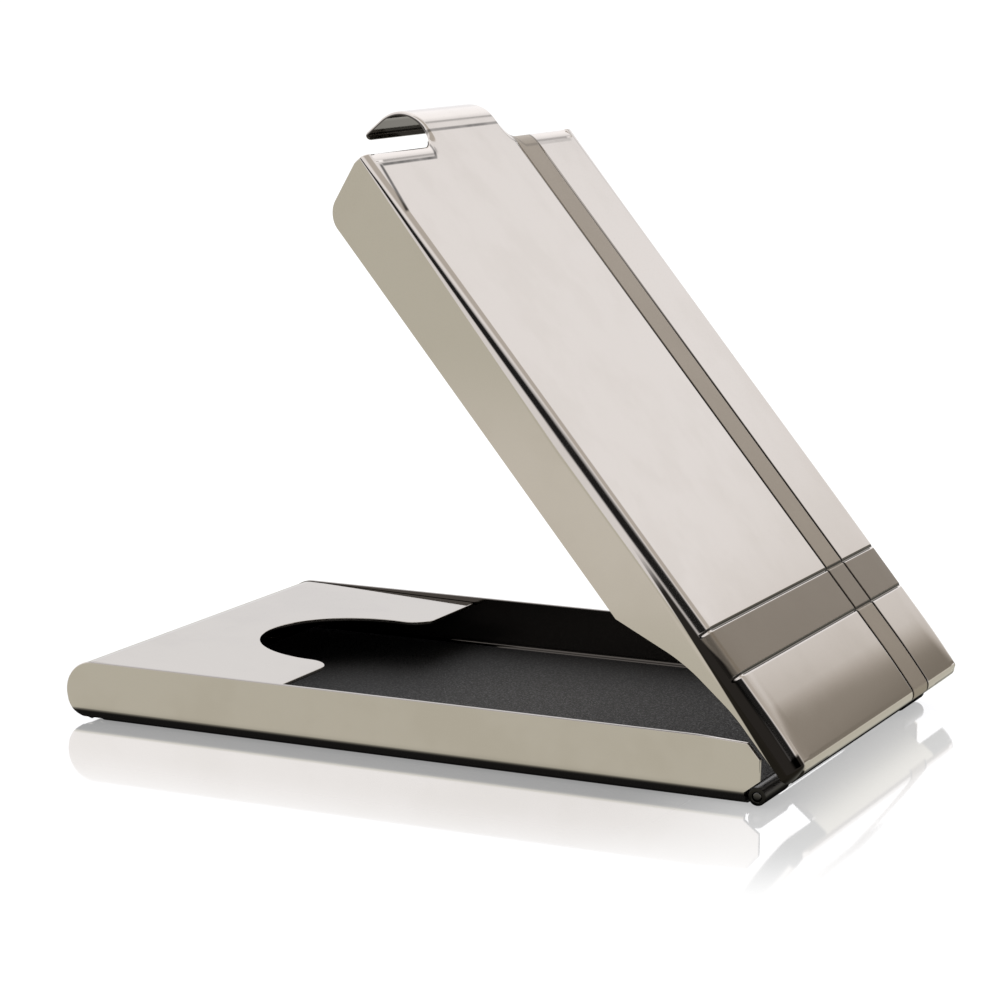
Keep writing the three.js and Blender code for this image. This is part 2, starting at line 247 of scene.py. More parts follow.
    def stretch_points(self, test: Test, factors: Point, about: Point) -> None:
        """Stretches the points that pass a test about a fixed place."""
        with self._picked(Part.POINT, test):
            bpy.ops.transform.resize(value=factors, center_override=about)

    def turn(self, degrees: float, about: Point) -> None:
        """Turns the whole piece about an axis along Y, right-handed.

        Args:
            degrees: How far it turns.
            about: A point on the axis.
        """
        move = Matrix.Translation(about)
        self.obj.matrix_world = move @ Matrix.Rotation(math.radians(degrees), 4, "Y") @ move.inverted()
        self._settle()

    def press_in(self, depth: Callable[[Vector], float], deepest: float, straight: bool = False) -> None:
        """Presses the surface in, by a depth worked out for each point.

        Args:
            depth: Gives a point's depth.
            deepest: The largest depth that it gives.
            straight: Presses straight down instead of along the surface's normals.
        """
        group = self.obj.vertex_groups.new(name="pressed")
        for point in self.obj.data.vertices:
            weight = depth(point.co) / deepest
            if weight > 0:
                group.add([point.index], min(weight, 1.0), "REPLACE")
        press = self.obj.modifiers.new("press", "DISPLACE")
        press.vertex_group = group.name
        press.direction = "Z" if straight else "NORMAL"
        press.mid_level = 0.0
        press.strength = -deepest
        self._apply(press)
        self.obj.vertex_groups.clear()

    def round_by_width(self, width: Callable[..., float], widest: float, segments: int) -> None:
        """Rounds edges in one go, each by a radius of its own.

        Args:
            width: Gives an edge's radius from its two ends, or 0 for a sharp edge.
            widest: The largest radius that it gives.
            segments: How many faces go round each edge.
        """
        mesh = self.obj.data
        weights = mesh.attributes.new("bevel_weight_edge", "FLOAT", "EDGE")
        for edge in mesh.edges:
            ends = [mesh.vertices[i].co for i in edge.vertices]
            weights.data[edge.index].value = width(*ends) / widest
        rounding = self.obj.modifiers.new("rounding", "BEVEL")
        rounding.limit_method = "WEIGHT"
        rounding.width = widest
        rounding.segments = segments
        rounding.use_clamp_overlap = False
        self._apply(rounding)
        spent = self.obj.data.attributes.get("bevel_weight_edge")
        if spent:
            self.obj.data.attributes.remove(spent)

    def _boolean(self, tool: "Workpiece", operation: str) -> None:
        """Cuts, joins or trims the piece with a tool, which is used up.

        Args:
            tool: The tool.
            operation: What the tool does to the piece.
        """
        step = self.obj.modifiers.new("step", "BOOLEAN")
        step.operation = operation
        step.solver = "EXACT"
        step.object = tool.obj
        self._apply(step)
        bpy.data.objects.remove(tool.obj)

    def cut(self, tool: "Workpiece") -> None:
        """Takes the tool's shape out of the piece."""
        self._boolean(tool, "DIFFERENCE")

    def join(self, other: "Workpiece") -> None:
        """Makes the other piece one with this one."""
        self._boolean(other, "UNION")

    def keep(self, tool: "Workpiece") -> None:
        """Keeps only what lies inside the tool."""
        self._boolean(tool, "INTERSECT")

    def soften(self, width: float, segments: int = 2, corner_degrees: float = 50.0) -> None:
        """Breaks every sharp edge of the piece by a small round.

        Args:
            width: How far the round reaches.
            segments: How many faces go round each edge.
            corner_degrees: Edges sharper than this are broken.
        """
        breaking = self.obj.modifiers.new("edge_break", "BEVEL")
        breaking.limit_method = "ANGLE"
        breaking.angle_limit = math.radians(corner_degrees)
        breaking.width = width
        breaking.segments = segments
        breaking.use_clamp_overlap = True
        self._apply(breaking)

    def _apply(self, modifier: bpy.types.Modifier) -> None:
        """Applies a modifier to the piece."""
        self._choose()
        bpy.ops.object.modifier_apply(modifier=modifier.name)

    def _settle(self) -> None:
        """Puts the piece's place and size into its mesh."""
        self._choose()
        bpy.ops.object.transform_apply(location=True, rotation=True, scale=True)

    def finish(self, placement: Matrix, smooth_degrees: float = 40.0) -> bpy.types.Object:
        """Sets the finished piece down in the frame, with smooth bends and flat flats.

        Args:
            placement: From bench millimetres to the frame's metres.
            smooth_degrees: Edges sharper than this stay crisp.

        Returns:
            The finished object, at the origin.
        """
        with self._picked(Part.POINT, lambda at: True):
            bpy.ops.mesh.remove_doubles(threshold=TOUCHING)
            bpy.ops.mesh.dissolve_degenerate(threshold=TOUCHING)
        self.obj.matrix_world = placement
        self._settle()
        bpy.ops.object.shade_smooth_by_angle(angle=math.radians(smooth_degrees))
        weighting = self.obj.modifiers.new("weighting", "WEIGHTED_NORMAL")
        weighting.keep_sharp = True
        weighting.weight = 100
        self._apply(weighting)
        return self.obj


class Rod(Workpiece):
    """A piece that starts as a round bar along Y."""

    def __init__(self, name: str, centre: Point, radius: float, length: float, sides: int = 64) -> None:
        """Starts the piece as a bar.

        Args:
            name: The piece's name.
            centre: The middle of the bar.
            radius: Its radius.
            length: Its length.
            sides: How many faces go round it.
        """
        bpy.ops.object.select_all(action="DESELECT")
        quarter = math.pi / 2
        bpy.ops.mesh.primitive_cylinder_add(
            vertices=sides, radius=radius, depth=length, location=centre, rotation=(quarter, 0, 0)
        )
        self._adopt(name)


class Outline(Workpiece):
    """A tool that starts as an outline in X and Z, drawn out along Y."""

    def __init__(self, name: str, corners: list[tuple[float, float, float]], y0: float, y1: float) -> None:
        """Draws the outline corner by corner and gives it depth.

        Args:
            name: The tool's name.
            corners: Each corner's x and z, and the radius that it is rounded by.
            y0: Where the tool starts.
            y1: Where it ends.
        """
        bpy.ops.object.select_all(action="DESELECT")
        first = (corners[0][0], y0, corners[0][1])
        bpy.ops.mesh.primitive_plane_add(size=1.0, location=first)
        self._adopt(name)
        with self._editing() as mesh:
            self._pick(mesh, Part.POINT, lambda at: True)
            bpy.ops.mesh.merge(type="CENTER")
            for (ax, az, _), (bx, bz, _) in zip(corners, corners[1:] + corners[:1]):
                bpy.ops.mesh.extrude_vertices_move(TRANSFORM_OT_translate={"value": (bx - ax, 0, bz - az)})
            self._pick(mesh, Part.POINT, lambda at: True)
            bpy.ops.mesh.remove_doubles(threshold=TOUCHING)
            bpy.ops.mesh.edge_face_add()
            bpy.ops.mesh.extrude_region_move(TRANSFORM_OT_translate={"value": (0, y1 - y0, 0)})
            bpy.ops.mesh.select_all(action="SELECT")
            bpy.ops.mesh.normals_make_consistent(inside=False)
        for i, (x, z, radius) in enumerate(corners):
            if radius > 0:
                before, after = corners[i - 1], corners[(i + 1) % len(corners)]
                self.round_edges(_stands_at(x, z), _tangent_length(before, corners[i], after), 16)


def _stands_at(x: float, z: float) -> Test:
    """Gives a test for the edge along Y at one corner of an outline."""
    return lambda a, b: all(near(p.x, x) and near(p.z, z) for p in (a, b))


def _tangent_length(before: Point, corner: Point, after: Point) -> float:
    """How far from its corner a round touches the outline; a corner is x, z and its radius.

    Args:
        before: The corner before it.
        corner: The corner.
        after: The corner after it.

    Returns:
        The distance along either side.
    """
    here = Vector(corner[:2])
    half_angle = (Vector(before[:2]) - here).angle(Vector(after[:2]) - here) / 2
    return corner[2] / math.tan(half_angle)


# ---------------------------------------------------------------- where the bodies stand


def hinge_pin_axis() -> Vector:
    """The middle of the hinge pin, in metres, from the frame's lid joint."""
    joint = next(j for j in frame["joints"] if j["child"] == "lid")
    return Vector(joint["pos_m"])


def lid_opening() -> float:
    """How far the lid stands open at rest, in radians."""
    joint = next(j for j in frame["joints"] if j["child"] == "lid")
    return math.radians(-joint["range_deg"][0])


def base_placement() -> Matrix:
    """From the tray's bench millimetres to the frame's metres."""
    return Matrix.Scale(MM, 4)


def lid_placement() -> Matrix:
    """From the lid's bench millimetres, with the lid shut, to where it stands open."""
    turn = Matrix.Rotation(lid_opening(), 4, "Y")
    return Matrix.Translation(hinge_pin_axis()) @ turn @ Matrix.Scale(MM, 4)


# ---------------------------------------------------------------- the base


@dataclass
class Tray:
    """The pressed tray: a floor, two long walls with rolled lower edges and full-round noses."""

    half_width: float = 30.0
    wall_top: float = 8.12
    front: float = -49.9
    back: float = 49.3
    floor_back: float = 47.3
    sheet: float = 0.6
    roll: float = 1.75
    edge_break: float = 0.12
    broken_from: float = 0.9
    mouth_length: float = 1.075
    mouth_rise: float = 0.6
    step_low: float = 1.65
    step_high: float = 3.2
    back_top: float = 5.9
    back_corner: float = 0.25
    shoulder_in: float = 1.6
    shoulder_top: float = 7.78
    shoulder_round: float = 0.35
    shoulder_length: float = 8.3
    tangent_gap: float = 0.002

    @property
    def nose(self) -> float:
        """Radius of the nose, half the wall's height."""
        return self.wall_top / 2

    def build_shell(self) -> bpy.types.Object:
        """Folds up the tray.

        Returns:
            The finished tray.
        """
        wide = self.half_width
        shell = Workpiece("tray_shell", (self.front - 1, -wide, 0), (self.back + 1, wide, self.wall_top))
        lengthwise = lambda a, b, z: near(a.z, z) and near(b.z, z) and near(a.y, b.y)
        shell.round_edges(lambda a, b: lengthwise(a, b, 0), self.roll, 20)
        inner = Workpiece(
            "inside",
            (self.front - 3, -wide + self.sheet, self.sheet),
            (self.back + 3, wide - self.sheet, self.wall_top + 3),
        )
        inner.round_edges(lambda a, b: lengthwise(a, b, self.sheet), self.roll - self.sheet, 12)
        shell.cut(inner)
        shell.keep(self._side_outline())
        mouth = Workpiece(
            "mouth",
            (self.front - 2, -wide + self.sheet, -2),
            (self.front + self.nose + self.mouth_length, wide - self.sheet, self.roll + self.mouth_rise),
        )
        shell.cut(mouth)
        above_roll = lambda a, b: min(a.z, b.z) > self.roll + self.broken_from and near(a.y, b.y)
        on_face = lambda a: near(abs(a.y), wide) or near(abs(a.y), wide - self.sheet)
        shell.merge_flats()
        shell.round_edges(lambda a, b: above_roll(a, b) and on_face(a), self.edge_break, 3, held=False)
        shell.soften(self.edge_break, segments=3)
        return shell.finish(base_placement())

    def _side_outline(self) -> Outline:
        """The tray's outline seen from the side, with its round nose and the stepped hinge end.

        Returns:
            The tool that keeps what lies inside the outline.
        """
        reach = self.half_width + 5
        nose = self.nose - self.tangent_gap
        return Outline(
            "side",
            [
                (self.front, 0, nose),
                (self.floor_back, 0, 0),
                (self.floor_back, self.step_low, 0),
                (self.back, self.step_high, 0),
                (self.back, self.back_top, self.back_corner),
                (self.back - self.shoulder_in, self.shoulder_top, self.shoulder_round),
                (self.back - self.shoulder_length, self.wall_top, 0),
                (self.front, self.wall_top, nose),
            ],
            -reach,
            reach,
        )


@dataclass
class TrayPad:
    """The dark grained pad that lines the tray."""

    half_width: float = 28.2
    front: float = -45.0
    back: float = 47.3
    underside: float = 0.65
    top: float = 1.45
    corner: float = 0.8
    rim_height: float = 0.14
    rim_step: float = 0.35
    edge_break: float = 0.08
    over_foot: Span = (-37.7, 1.2)
    over_leaf: Span = (39.7, 1.1)

    def build(self) -> bpy.types.Object:
        """Cuts the pad, raises its turned rim and clears what it lies over.

        Returns:
            The finished pad.
        """
        flat, wide = self.top - self.rim_height, self.half_width
        reach = wide + 5
        pad = Workpiece("tray_pad", (self.front, -wide, self.underside), (self.back, wide, flat))
        pad.round_edges(lambda a, b: not near(a.z, b.z), self.corner, 6)
        pad.inset(lambda centre, normal: normal.z > 0.9, self.rim_step, 2)
        on_rim = lambda p: near(p.z, flat) and near(self._rim_distance(p), 0.3, 0.1)
        pad.shift_points(on_rim, (0, 0, self.rim_height))
        (foot_end, foot_top), (leaf_start, leaf_top) = self.over_foot, self.over_leaf
        pad.cut(Workpiece("foot", (self.front - 2, -reach, 0), (foot_end, reach, foot_top)))
        pad.cut(Workpiece("leaf", (leaf_start, -reach, 0), (self.back + 2, reach, leaf_top)))
        pad.soften(self.edge_break, segments=2, corner_degrees=35)
        return pad.finish(base_placement(), smooth_degrees=60)

    def _rim_distance(self, p: Vector) -> float:
        """How far a point lies inside the pad's outline."""
        return min(self.half_width - abs(p.y), p.x - self.front, self.back - p.x)


@dataclass
class RetainingClip:
    """The sprung sheet that holds the notes: its plate, its front bend and its foot."""

    bend_x: float = -45.84
    bend_z: float = 4.06
    outer: float = 3.985
    sheet: float = 0.5
    half_width: float = 29.1
    slope: float = 1.4
    free_edge: float = -18.5
    notch_half: float = 13.2
    notch_depth: float = 17.0
    mouth: float = 3.3
    corner: float = 0.6
    split: float = 260.0
    foot_end: float = -38.0
    foot_inset: float = 1.1
    foot_step: float = 0.775
    foot_low: float = 0.65
    foot_top: float = 1.15
    foot_drop: float = 0.575
    foot_degrees: float = 4.0

    def build_plate(self) -> bpy.types.Object:
        """Bends the plate round the front of the case and cuts its thumb notch.

        Returns:
            The finished plate.
        """
        top = self.bend_z + self.outer
        plate = Workpiece(
            "retaining_plate",
            (self.bend_x, -self.half_width, top - self.sheet),
            (self.free_edge, self.half_width, top),
        )
        on_edge = lambda p: near(p.x, self.free_edge)
        at_free_edge = lambda a, b: on_edge(a) and on_edge(b) and not near(a.z, b.z)
        plate.round_edges(at_free_edge, self.corner, 6)
        plate.cut(self._notch())
        bend = (self.bend_x, 0.0, self.bend_z)
        plate.turn(self.slope, bend)
        lean = math.radians(self.slope)
        end = Vector((-math.cos(lean), 0, math.sin(lean)))
        turn = self.split - (90 - self.slope)
        plate.bend_on(lambda centre, normal: normal.dot(end) > 0.999, bend, -turn, 60)
        plate.soften(0.09, segments=3)
        return plate.finish(base_placement())

    def _notch(self) -> Workpiece:
        """The thumb notch, with its half-round end and flared mouth, and all beyond the free edge.

        Returns:
            The tool that cuts it.
        """
        edge, deep = self.free_edge, self.free_edge - self.notch_depth
        notch = Workpiece("notch", (edge, -40, 0), (edge + 20, 40, 12))
        notch.slice_at(Axis.Y, [-self.notch_half, self.notch_half])
        notch.draw_out(
            lambda centre, normal: normal.x < -0.9 and abs(centre.y) < self.notch_half,
            (-self.notch_depth, 0, 0),
        )
        upright = lambda a, b: near(a.x, b.x) and near(a.y, b.y)
        notch.round_edges(lambda a, b: upright(a, b) and near(a.x, deep), self.notch_half - 0.02, 40)
        flare = lambda a, b: upright(a, b) and near(a.x, edge) and near(abs(a.y), self.notch_half)
        notch.round_edges(flare, self.mouth, 16)
        return notch

    def build_foot(self) -> bpy.types.Object:
        """Steps the foot of the same sheet up over the tray's floor.

        Returns:
            The finished foot.
        """
        half = self.half_width - self.foot_inset
        step = self.bend_x + self.foot_step
        foot = Workpiece("clip_foot", (step, -half, self.foot_low), (self.foot_end, half, self.foot_top))
        at_step = lambda centre, normal: normal.x < -0.9
        foot.draw_out(at_step, (self.bend_x - step, 0, -self.foot_drop))
        foot.bend_on(at_step, (self.bend_x, 0, self.bend_z), self.foot_degrees, 3)
        foot.soften(0.06, segments=2, corner_degrees=60)
        return foot.finish(base_placement())


@dataclass
class Hinge:
    """The rolled hinge: two leaves with knuckles round one pin."""

    knuckle: float = 1.15
    middle_knuckle: float = 0.9
    bore: float = 0.66
    pin: float = 0.6
    half_length: float = 30.0
    split: float = 22.0
    gap: float = 0.3
    leaf_front: float = 40.0
    leaf_half: float = 28.2
    leaf_low: float = 0.65
    leaf_top: float = 1.05
    leaf_clearance: float = 0.35
    arm_start: float = 2.3
    plate_half: float = 19.7
    plate_face: Span = (0.05, 0.45)
    plate_rise: Span = (0.9, 6.0)
    peening: float = 0.22
    edge_break: float = 0.05

    def _knuckle(self, radius: float, x: float, z: float, y0: float, y1: float) -> Rod:
        """A rolled knuckle with softly turned ends.

        Args:
            radius: Its outer radius.
            x: Where its axis stands.
            z: How high its axis stands.
            y0: Where it starts.
            y1: Where it ends.

        Returns:
            The knuckle, without its bore.
        """
        rod = Rod("knuckle", (x, (y0 + y1) / 2, z), radius, abs(y1 - y0), 72)
        rod.round_edges(lambda a, b: near(a.y, b.y), 0.12, 3)
        return rod

    def build_base_leaf(self) -> bpy.types.Object:
        """The leaf under the pad, with a knuckle at each end of the pin.

        Returns:
            The finished leaf.
        """
        x, z = hinge_pin_axis().x / MM, hinge_pin_axis().z / MM
        low, top, wide = self.leaf_low, self.leaf_top, self.leaf_half
        end = x - self.knuckle - self.leaf_clearance
        leaf = Workpiece("tray_hinge_leaf", (self.leaf_front, -wide, low), (end, wide, top))
        for side in (-1, 1):
            y0, y1 = sorted((side * self.split, side * wide))
            leaf.join(Workpiece("arm", (x - self.arm_start, y0, low), (x - self.pin, y1, top)))
            y0, y1 = sorted((side * self.split, side * self.half_length))
            leaf.join(self._knuckle(self.knuckle, x, z, y0, y1))
        leaf.cut(Rod("bore", (x, 0, z), self.bore, 80, 48))
        leaf.soften(self.edge_break, segments=2, corner_degrees=55)
        return leaf.finish(base_placement())

    def build_pin(self) -> bpy.types.Object:
        """The pin, with its ends peened to low domes.

        Returns:
            The finished pin.
        """
        axis = hinge_pin_axis() / MM
        pin = Rod("pin", tuple(axis), self.pin, 2 * self.half_length, 48)
        pin.round_edges(lambda a, b: near(a.y, b.y) and near(abs(a.y), self.half_length), self.peening, 5)
        pin.obj.name = "peened_pin"
        return pin.finish(base_placement())

    def build_lid_leaf(self) -> bpy.types.Object:
        """The lid's leaf, up the inside of its back wall, with the long middle knuckle.

        Returns:
            The finished leaf.
        """
        half = self.split - self.gap
        (x0, x1), (z0, z1) = self.plate_face, self.plate_rise
        leaf = Workpiece("lid_hinge_plate", (x0, -self.plate_half, z0), (x1, self.plate_half, z1))
        leaf.join(self._knuckle(self.middle_knuckle, 0, 0, -half, half))
        leaf.cut(Rod("bore", (0, 0, 0), self.bore, 80, 48))
        leaf.soften(self.edge_break, segments=2, corner_degrees=55)
        return leaf.finish(lid_placement())


# ---------------------------------------------------------------- the lid


@dataclass
class Lid:
    """The pressed lid: face, skirts, turned lip, latch tab and the grooves that edge its satin bands."""

    half_width: float = 30.85
    top: float = 7.6
    back: float = 1.0
    length: float = 91.9
    sheet: float = 0.5
    low: float = -8.0
    seed_round: float = 0.1
    side_round: float = 1.8
    side_depth: float = 2.3
    side_depth_hinge: float = 3.25
    side_depth_latch: float = 0.7
    deepening_from: float = 34.0
    latch_taper: float = 44.0
    corner_round: float = 0.35
    back_round: float = 1.25
    back_corner: float = 0.9
    lip_round: float = 1.9
    lip_depth: float = 0.62
    lip_bottom: float = 6.95
    tab_half: float = 10.4
    tab_root: float = 2.8
    tab_round: float = 0.75
    tab_depth: float = 0.42
    hook_along: float = 94.95
    hook_outer: float = 4.6
    hook_end: float = 0.3
    crown_from: float = 8.0
    crown_radius: float = 115.0
    edge_fall_width: float = 5.0
    edge_fall: float = 0.2
    groove_flank: float = 0.3
    groove_depth: float = 0.22
    long_grooves: tuple[float, ...] = (11.5, 17.5)
    cross_grooves: tuple[float, ...] = (13.2, 19.7)
    tongue_end: float = -0.3
    pin_relief: float = 0.68
    inner_round: float = 1.15
    inner_corner: float = 0.9
    inner_widening: float = 1.3
    widening_at: tuple[float, ...] = (-8.0, -6.0, -4.5, -3.0, -1.5, 0.0)
    fall_share: float = 0.12
    fall_run: float = 13.0
    groove_reach: float = 1.25
    groove_side_loss: float = 0.55
    groove_side_run: Span = (2.6, 1.2)
    skirt_hinge: float = 4.25
    skirt_bend: Span = (-9.5, -18.0)
    skirt_middle: float = 2.9
    skirt_low: float = -1.15
    skirt_straight: Span = (-27.3, -89.0)
    skirt_latch: float = 6.3
    skirt_round: float = 20.0
    skirt_latch_round: float = 3.0
    tongue_half: float = 20.0
    tongue_top: float = 6.0
    tongue_corner: float = 1.0
    hook_tip_gap: float = 0.12
    hook_tip_degrees: float = 175.0

    def build_shell(self) -> bpy.types.Object:
        """Presses the lid out of its sheet, from the outer form inwards.

        Returns:
            The finished lid.
        """
        shell = self._outer_form()
        self._crown_face(shell)
        self._press_grooves(shell)
        shell.cut(self._hollow())
        shell.cut(self._latch_opening())
        shell.cut(self._under_tab())
        shell.cut(self._below_skirts())
        shell.cut(Rod("pin_relief", (0, 0, 0), self.pin_relief, 2 * self.half_width + 4))
        self._bend_hook(shell)
        return shell.finish(lid_placement(), smooth_degrees=38)

    def _outer_form(self) -> Workpiece:
        """The lid's outside as a full block, with its tab and all its rounded edges.

        Returns:
            The block.
        """
        wide = self.half_width
        shell = Workpiece("lid_pressing", (-self.length, -wide, self.low), (self.back, wide, self.top))
        shell.slice_at(Axis.Y, [-self.tab_half, self.tab_half], lambda centre, normal: normal.x < -0.9)
        shell.draw_out(
            lambda centre, normal: normal.x < -0.9 and abs(centre.y) < self.tab_half,
            (self.length - self.hook_along, 0, 0),
        )
        shell.merge_flats()
        upright = lambda a, b: near(a.x, b.x) and near(a.y, b.y)
        root = lambda a, b: upright(a, b) and near(a.x, -self.length) and near(abs(a.y), self.tab_half)
        shell.round_edges(root, self.tab_root, 10)
        taper = [-self.length + self.latch_taper * i / 11 for i in range(1, 12)]
        shell.slice_at(Axis.X, taper + self._hinge_stations(), lambda centre, normal: abs(normal.x) < 0.1)
        inset = [side * (wide - step) for side in (-1, 1) for step in (2.0, 4.0)]
        shell.slice_at(Axis.Y, inset, lambda centre, normal: normal.x > 0.9 or normal.z > 0.9)
        corners = self._rim_corners(shell)
        shell.round_edges(self._is_outer_edge, self.seed_round, 14, held=False)
        for corner in corners:
            factors = tuple(radius / self.seed_round for radius in self._radii_at(corner.x, corner.y))
            around = lambda p, c=corner: (p - c).length < 1.8 * self.seed_round
            shell.stretch_points(around, factors, tuple(corner))
        return shell

    def _hinge_stations(self) -> list[float]:
        """Where the outline is divided along the lid, closer together towards the hinge."""
        return [-self.deepening_from + 3 * i for i in range(12)]

    def _rim_corners(self, shell: Workpiece) -> list[Vector]:
        """Where the edges that get rounded meet each other.

        Args:
            shell: The lid's block.

        Returns:
            Their places, in a fixed order.
        """
        mesh = shell.obj.data
        ends = [[mesh.vertices[i].co for i in edge.vertices] for edge in mesh.edges]
        outer = {tuple(place) for pair in ends if self._is_outer_edge(*pair) for place in pair}
        return [Vector(place) for place in sorted(outer)]

    def _is_outer_edge(self, a: Vector, b: Vector) -> bool:
        """True for the edges round the face and for the upright corners.

        Args:
            a: One end of the edge.
            b: Its other end.

        Returns:
            Whether it gets rounded.
        """
        middle = (a + b) / 2
        if near(a.z, self.top) and near(b.z, self.top):
            on_side = near(abs(a.y), self.half_width) and near(a.y, b.y)
            on_back = near(middle.x, self.back)
            at_latch = a.x < -self.length + 0.01 and b.x < -self.length + 0.01
            return on_side or on_back or (at_latch and not near(middle.y, 0, 1))
        upright = near(a.x, b.x) and near(a.y, b.y)
        at_end = near(a.x, self.back) or near(a.x, -self.length)
        return upright and near(abs(a.y), self.half_width) and at_end

    def _side_depth_at(self, x: float) -> float:
        """How far down the round of a long edge reaches, which grows from the latch to the hinge.

        Args:
            x: The place along the lid.

        Returns:
            The depth in millimetres.
        """
        latch = min(1.0, max(0.0, (x + self.length) / self.latch_taper))
        hinge = smooth_step((x + self.deepening_from) / self.deepening_from)
        depth = self.side_depth_latch + (self.side_depth - self.side_depth_latch) * latch
        return depth + (self.side_depth_hinge - self.side_depth) * hinge

    def _radii_at(self, x: float, y: float) -> Point:
        """How far the round at a place on the rim of the face reaches along X, Y and Z.

        Args:
            x: The place along the lid.
            y: The place across it.

        Returns:
            The reach along each axis.
        """
        if near(abs(y), self.half_width):
            along = self.corner_round if near(x, -self.length) else self.back_corner
            return (along, self.side_round, self._side_depth_at(x))
        if near(x, self.back):
            return (self.back_round,) * 3
        along_root = smooth_step((-x - self.length) / self.tab_root)
        across = self.lip_round + (self.tab_round - self.lip_round) * along_root
        return (across, across, self.lip_depth + (self.tab_depth - self.lip_depth) * along_root)

    def _face_fall(self, p: Vector) -> float:
        """How far the face falls away at a point: in a crown to the hinge and softly to its long edges.

        Args:
            p: The point.

        Returns:
            The depth in millimetres.
        """
        crowned = max(0.0, p.x + self.crown_from)
        crown = crowned**2 / (2 * self.crown_radius)
        inward = max(0.0, abs(p.y) - (self.half_width - self.edge_fall_width)) / self.edge_fall_width
        hinge = smooth_step((p.x + self.deepening_from) / self.deepening_from)
        towards_hinge = self.fall_share + (1 - self.fall_share) * hinge
        towards_hinge *= smooth_step((p.x + self.length) / self.fall_run)
        held = smooth_step((p.z - self.top + self.side_depth_hinge) / self.side_depth_hinge)
        return (crown + self.edge_fall * towards_hinge * inward**2) * held

    def _crown_face(self, shell: Workpiece) -> None:
        """Crowns the flat face.

        Args:
            shell: The lid's block.
        """
        flat = lambda centre, normal: normal.z > 0.999
        rows = [side * (self.half_width - self.side_round - 0.4 * i) for side in (-1, 1) for i in range(1, 9)]
        shell.slice_at(Axis.Y, rows, flat)
        lowest, front = self.top - self.side_depth_hinge, -self.length + 4
        upper = lambda centre, normal: centre.z > lowest and centre.x > front
        crown = [-self.crown_from + 0.5 * i for i in range(17)]
        shell.slice_at(Axis.X, crown + [-self.length + 16.0 * i for i in (1, 2, 3)], upper)
        shell.press_in(self._face_fall, 0.6, straight=True)

    def _groove_at(self, p: Vector) -> float:
        """How far the surface is pressed in at a point.

        Args:
            p: The point.

        Returns:
            The depth in millimetres.
        """
        fade = smooth_step((p.z - self.top + self.groove_reach) / 0.6)
        fade *= smooth_step((p.x + self.length - self.lip_round - 0.1) / 0.8)
        start, run = self.groove_side_run
        fade *= 1 - self.groove_side_loss * smooth_step((abs(p.y) - self.half_width + start) / run)
        if fade == 0:
            return 0.0
        beyond = [abs(p.y - (y - self.groove_flank / 2)) for y in self.long_grooves]
        beyond += [abs(p.x + along - self.groove_flank) for along in self.cross_grooves]
        return self.groove_depth * fade * (1 - smooth_step(min(beyond) / self.groove_flank))

    def _press_grooves(self, shell: Workpiece) -> None:
        """Presses the grooves into the face and over its rounded edges.

        Args:
            shell: The lid's block.
        """
        flank = self.groove_flank
        lowest = self.top - 2.4
        clear_of_lip = lambda centre, normal: normal.z > 0.999 or centre.x > -self.length + 5
        upper = lambda c, n: c.z > lowest and n.z > -0.1 and clear_of_lip(c, n)
        spread = [flank * i / 4 for i in range(-4, 5)] + [-flank - 0.1, flank + 0.1]
        shell.slice_at(Axis.Y, [y - flank / 2 + step for y in self.long_grooves for step in spread], upper)
        cross = [flank - along + step for along in self.cross_grooves for step in spread]
        shell.slice_at(Axis.X, cross, upper)
        shell.press_in(self._groove_at, self.groove_depth)

    def _hollow(self) -> Workpiece:
        """The inside of the lid, up to the turned lip, with rounds that widen towards the hinge.

        Returns:
            The tool that cuts it.
        """
        wide, top = self.half_width - self.sheet, self.top - self.sheet
        back, front = self.back - self.sheet, -self.length + self.sheet
        hollow = Workpiece("hollow", (front, -wide, self.low - 1), (back, wide, top))

        def radius(a: Vector, b: Vector) -> float:
            """The inner radius of an edge.

            Args:
                a: One end of the edge.
                b: Its other end.

            Returns:
                The radius, or 0 for a sharp edge.
            """
            at_back = near(a.x, back) and near(b.x, back)
            if near(a.z, top) and near(b.z, top):
                return self.inner_round * (near(abs(a.y), wide) and near(a.y, b.y) or at_back)
            return self.inner_corner * (near(a.y, b.y) and at_back)

        hollow.round_by_width(radius, self.inner_round, 10)
        hollow.slice_at(Axis.Z, [top - 2 * self.inner_round], lambda centre, normal: abs(normal.z) < 0.1)
        *stations, _ = self.widening_at
        close = 1.45 * self.inner_round
        hollow.slice_at(Axis.X, stations, lambda centre, normal: abs(normal.x) < 0.1)
        for index, x in enumerate(self.widening_at[1:], 1):
            factor = 1 + (self.inner_widening - 1) * index / len(stations)
            reach = 0.01 if x < 0 else self.inner_round
            for side in (-1, 1):
                corner = Vector((x, side * wide, top))
                arc = lambda p, c=corner, r=reach: abs(p.x - c.x) < r and (p - c).yz.length < close
                hollow.stretch_points(arc, (1, factor, factor), tuple(corner))
        return hollow

    def _latch_opening(self) -> Workpiece:
        """What is open at the latch end, below the turned lip."""
        wide, end = self.half_width - self.sheet, -self.length
        return Workpiece("opening", (end - 9, -wide, self.low - 1), (end + 2.2, wide, self.lip_bottom))

    def _under_tab(self) -> Workpiece:
        """What is open under the latch tab, where the lip isn't turned down.

        Returns:
            The tool that cuts it.
        """
        half = self.tab_half + 0.75
        return Workpiece(
            "under_tab",
            (-self.length - 9, -half, self.low - 1),
            (-self.length + self.sheet + 0.3, half, self.top - self.sheet),
        )

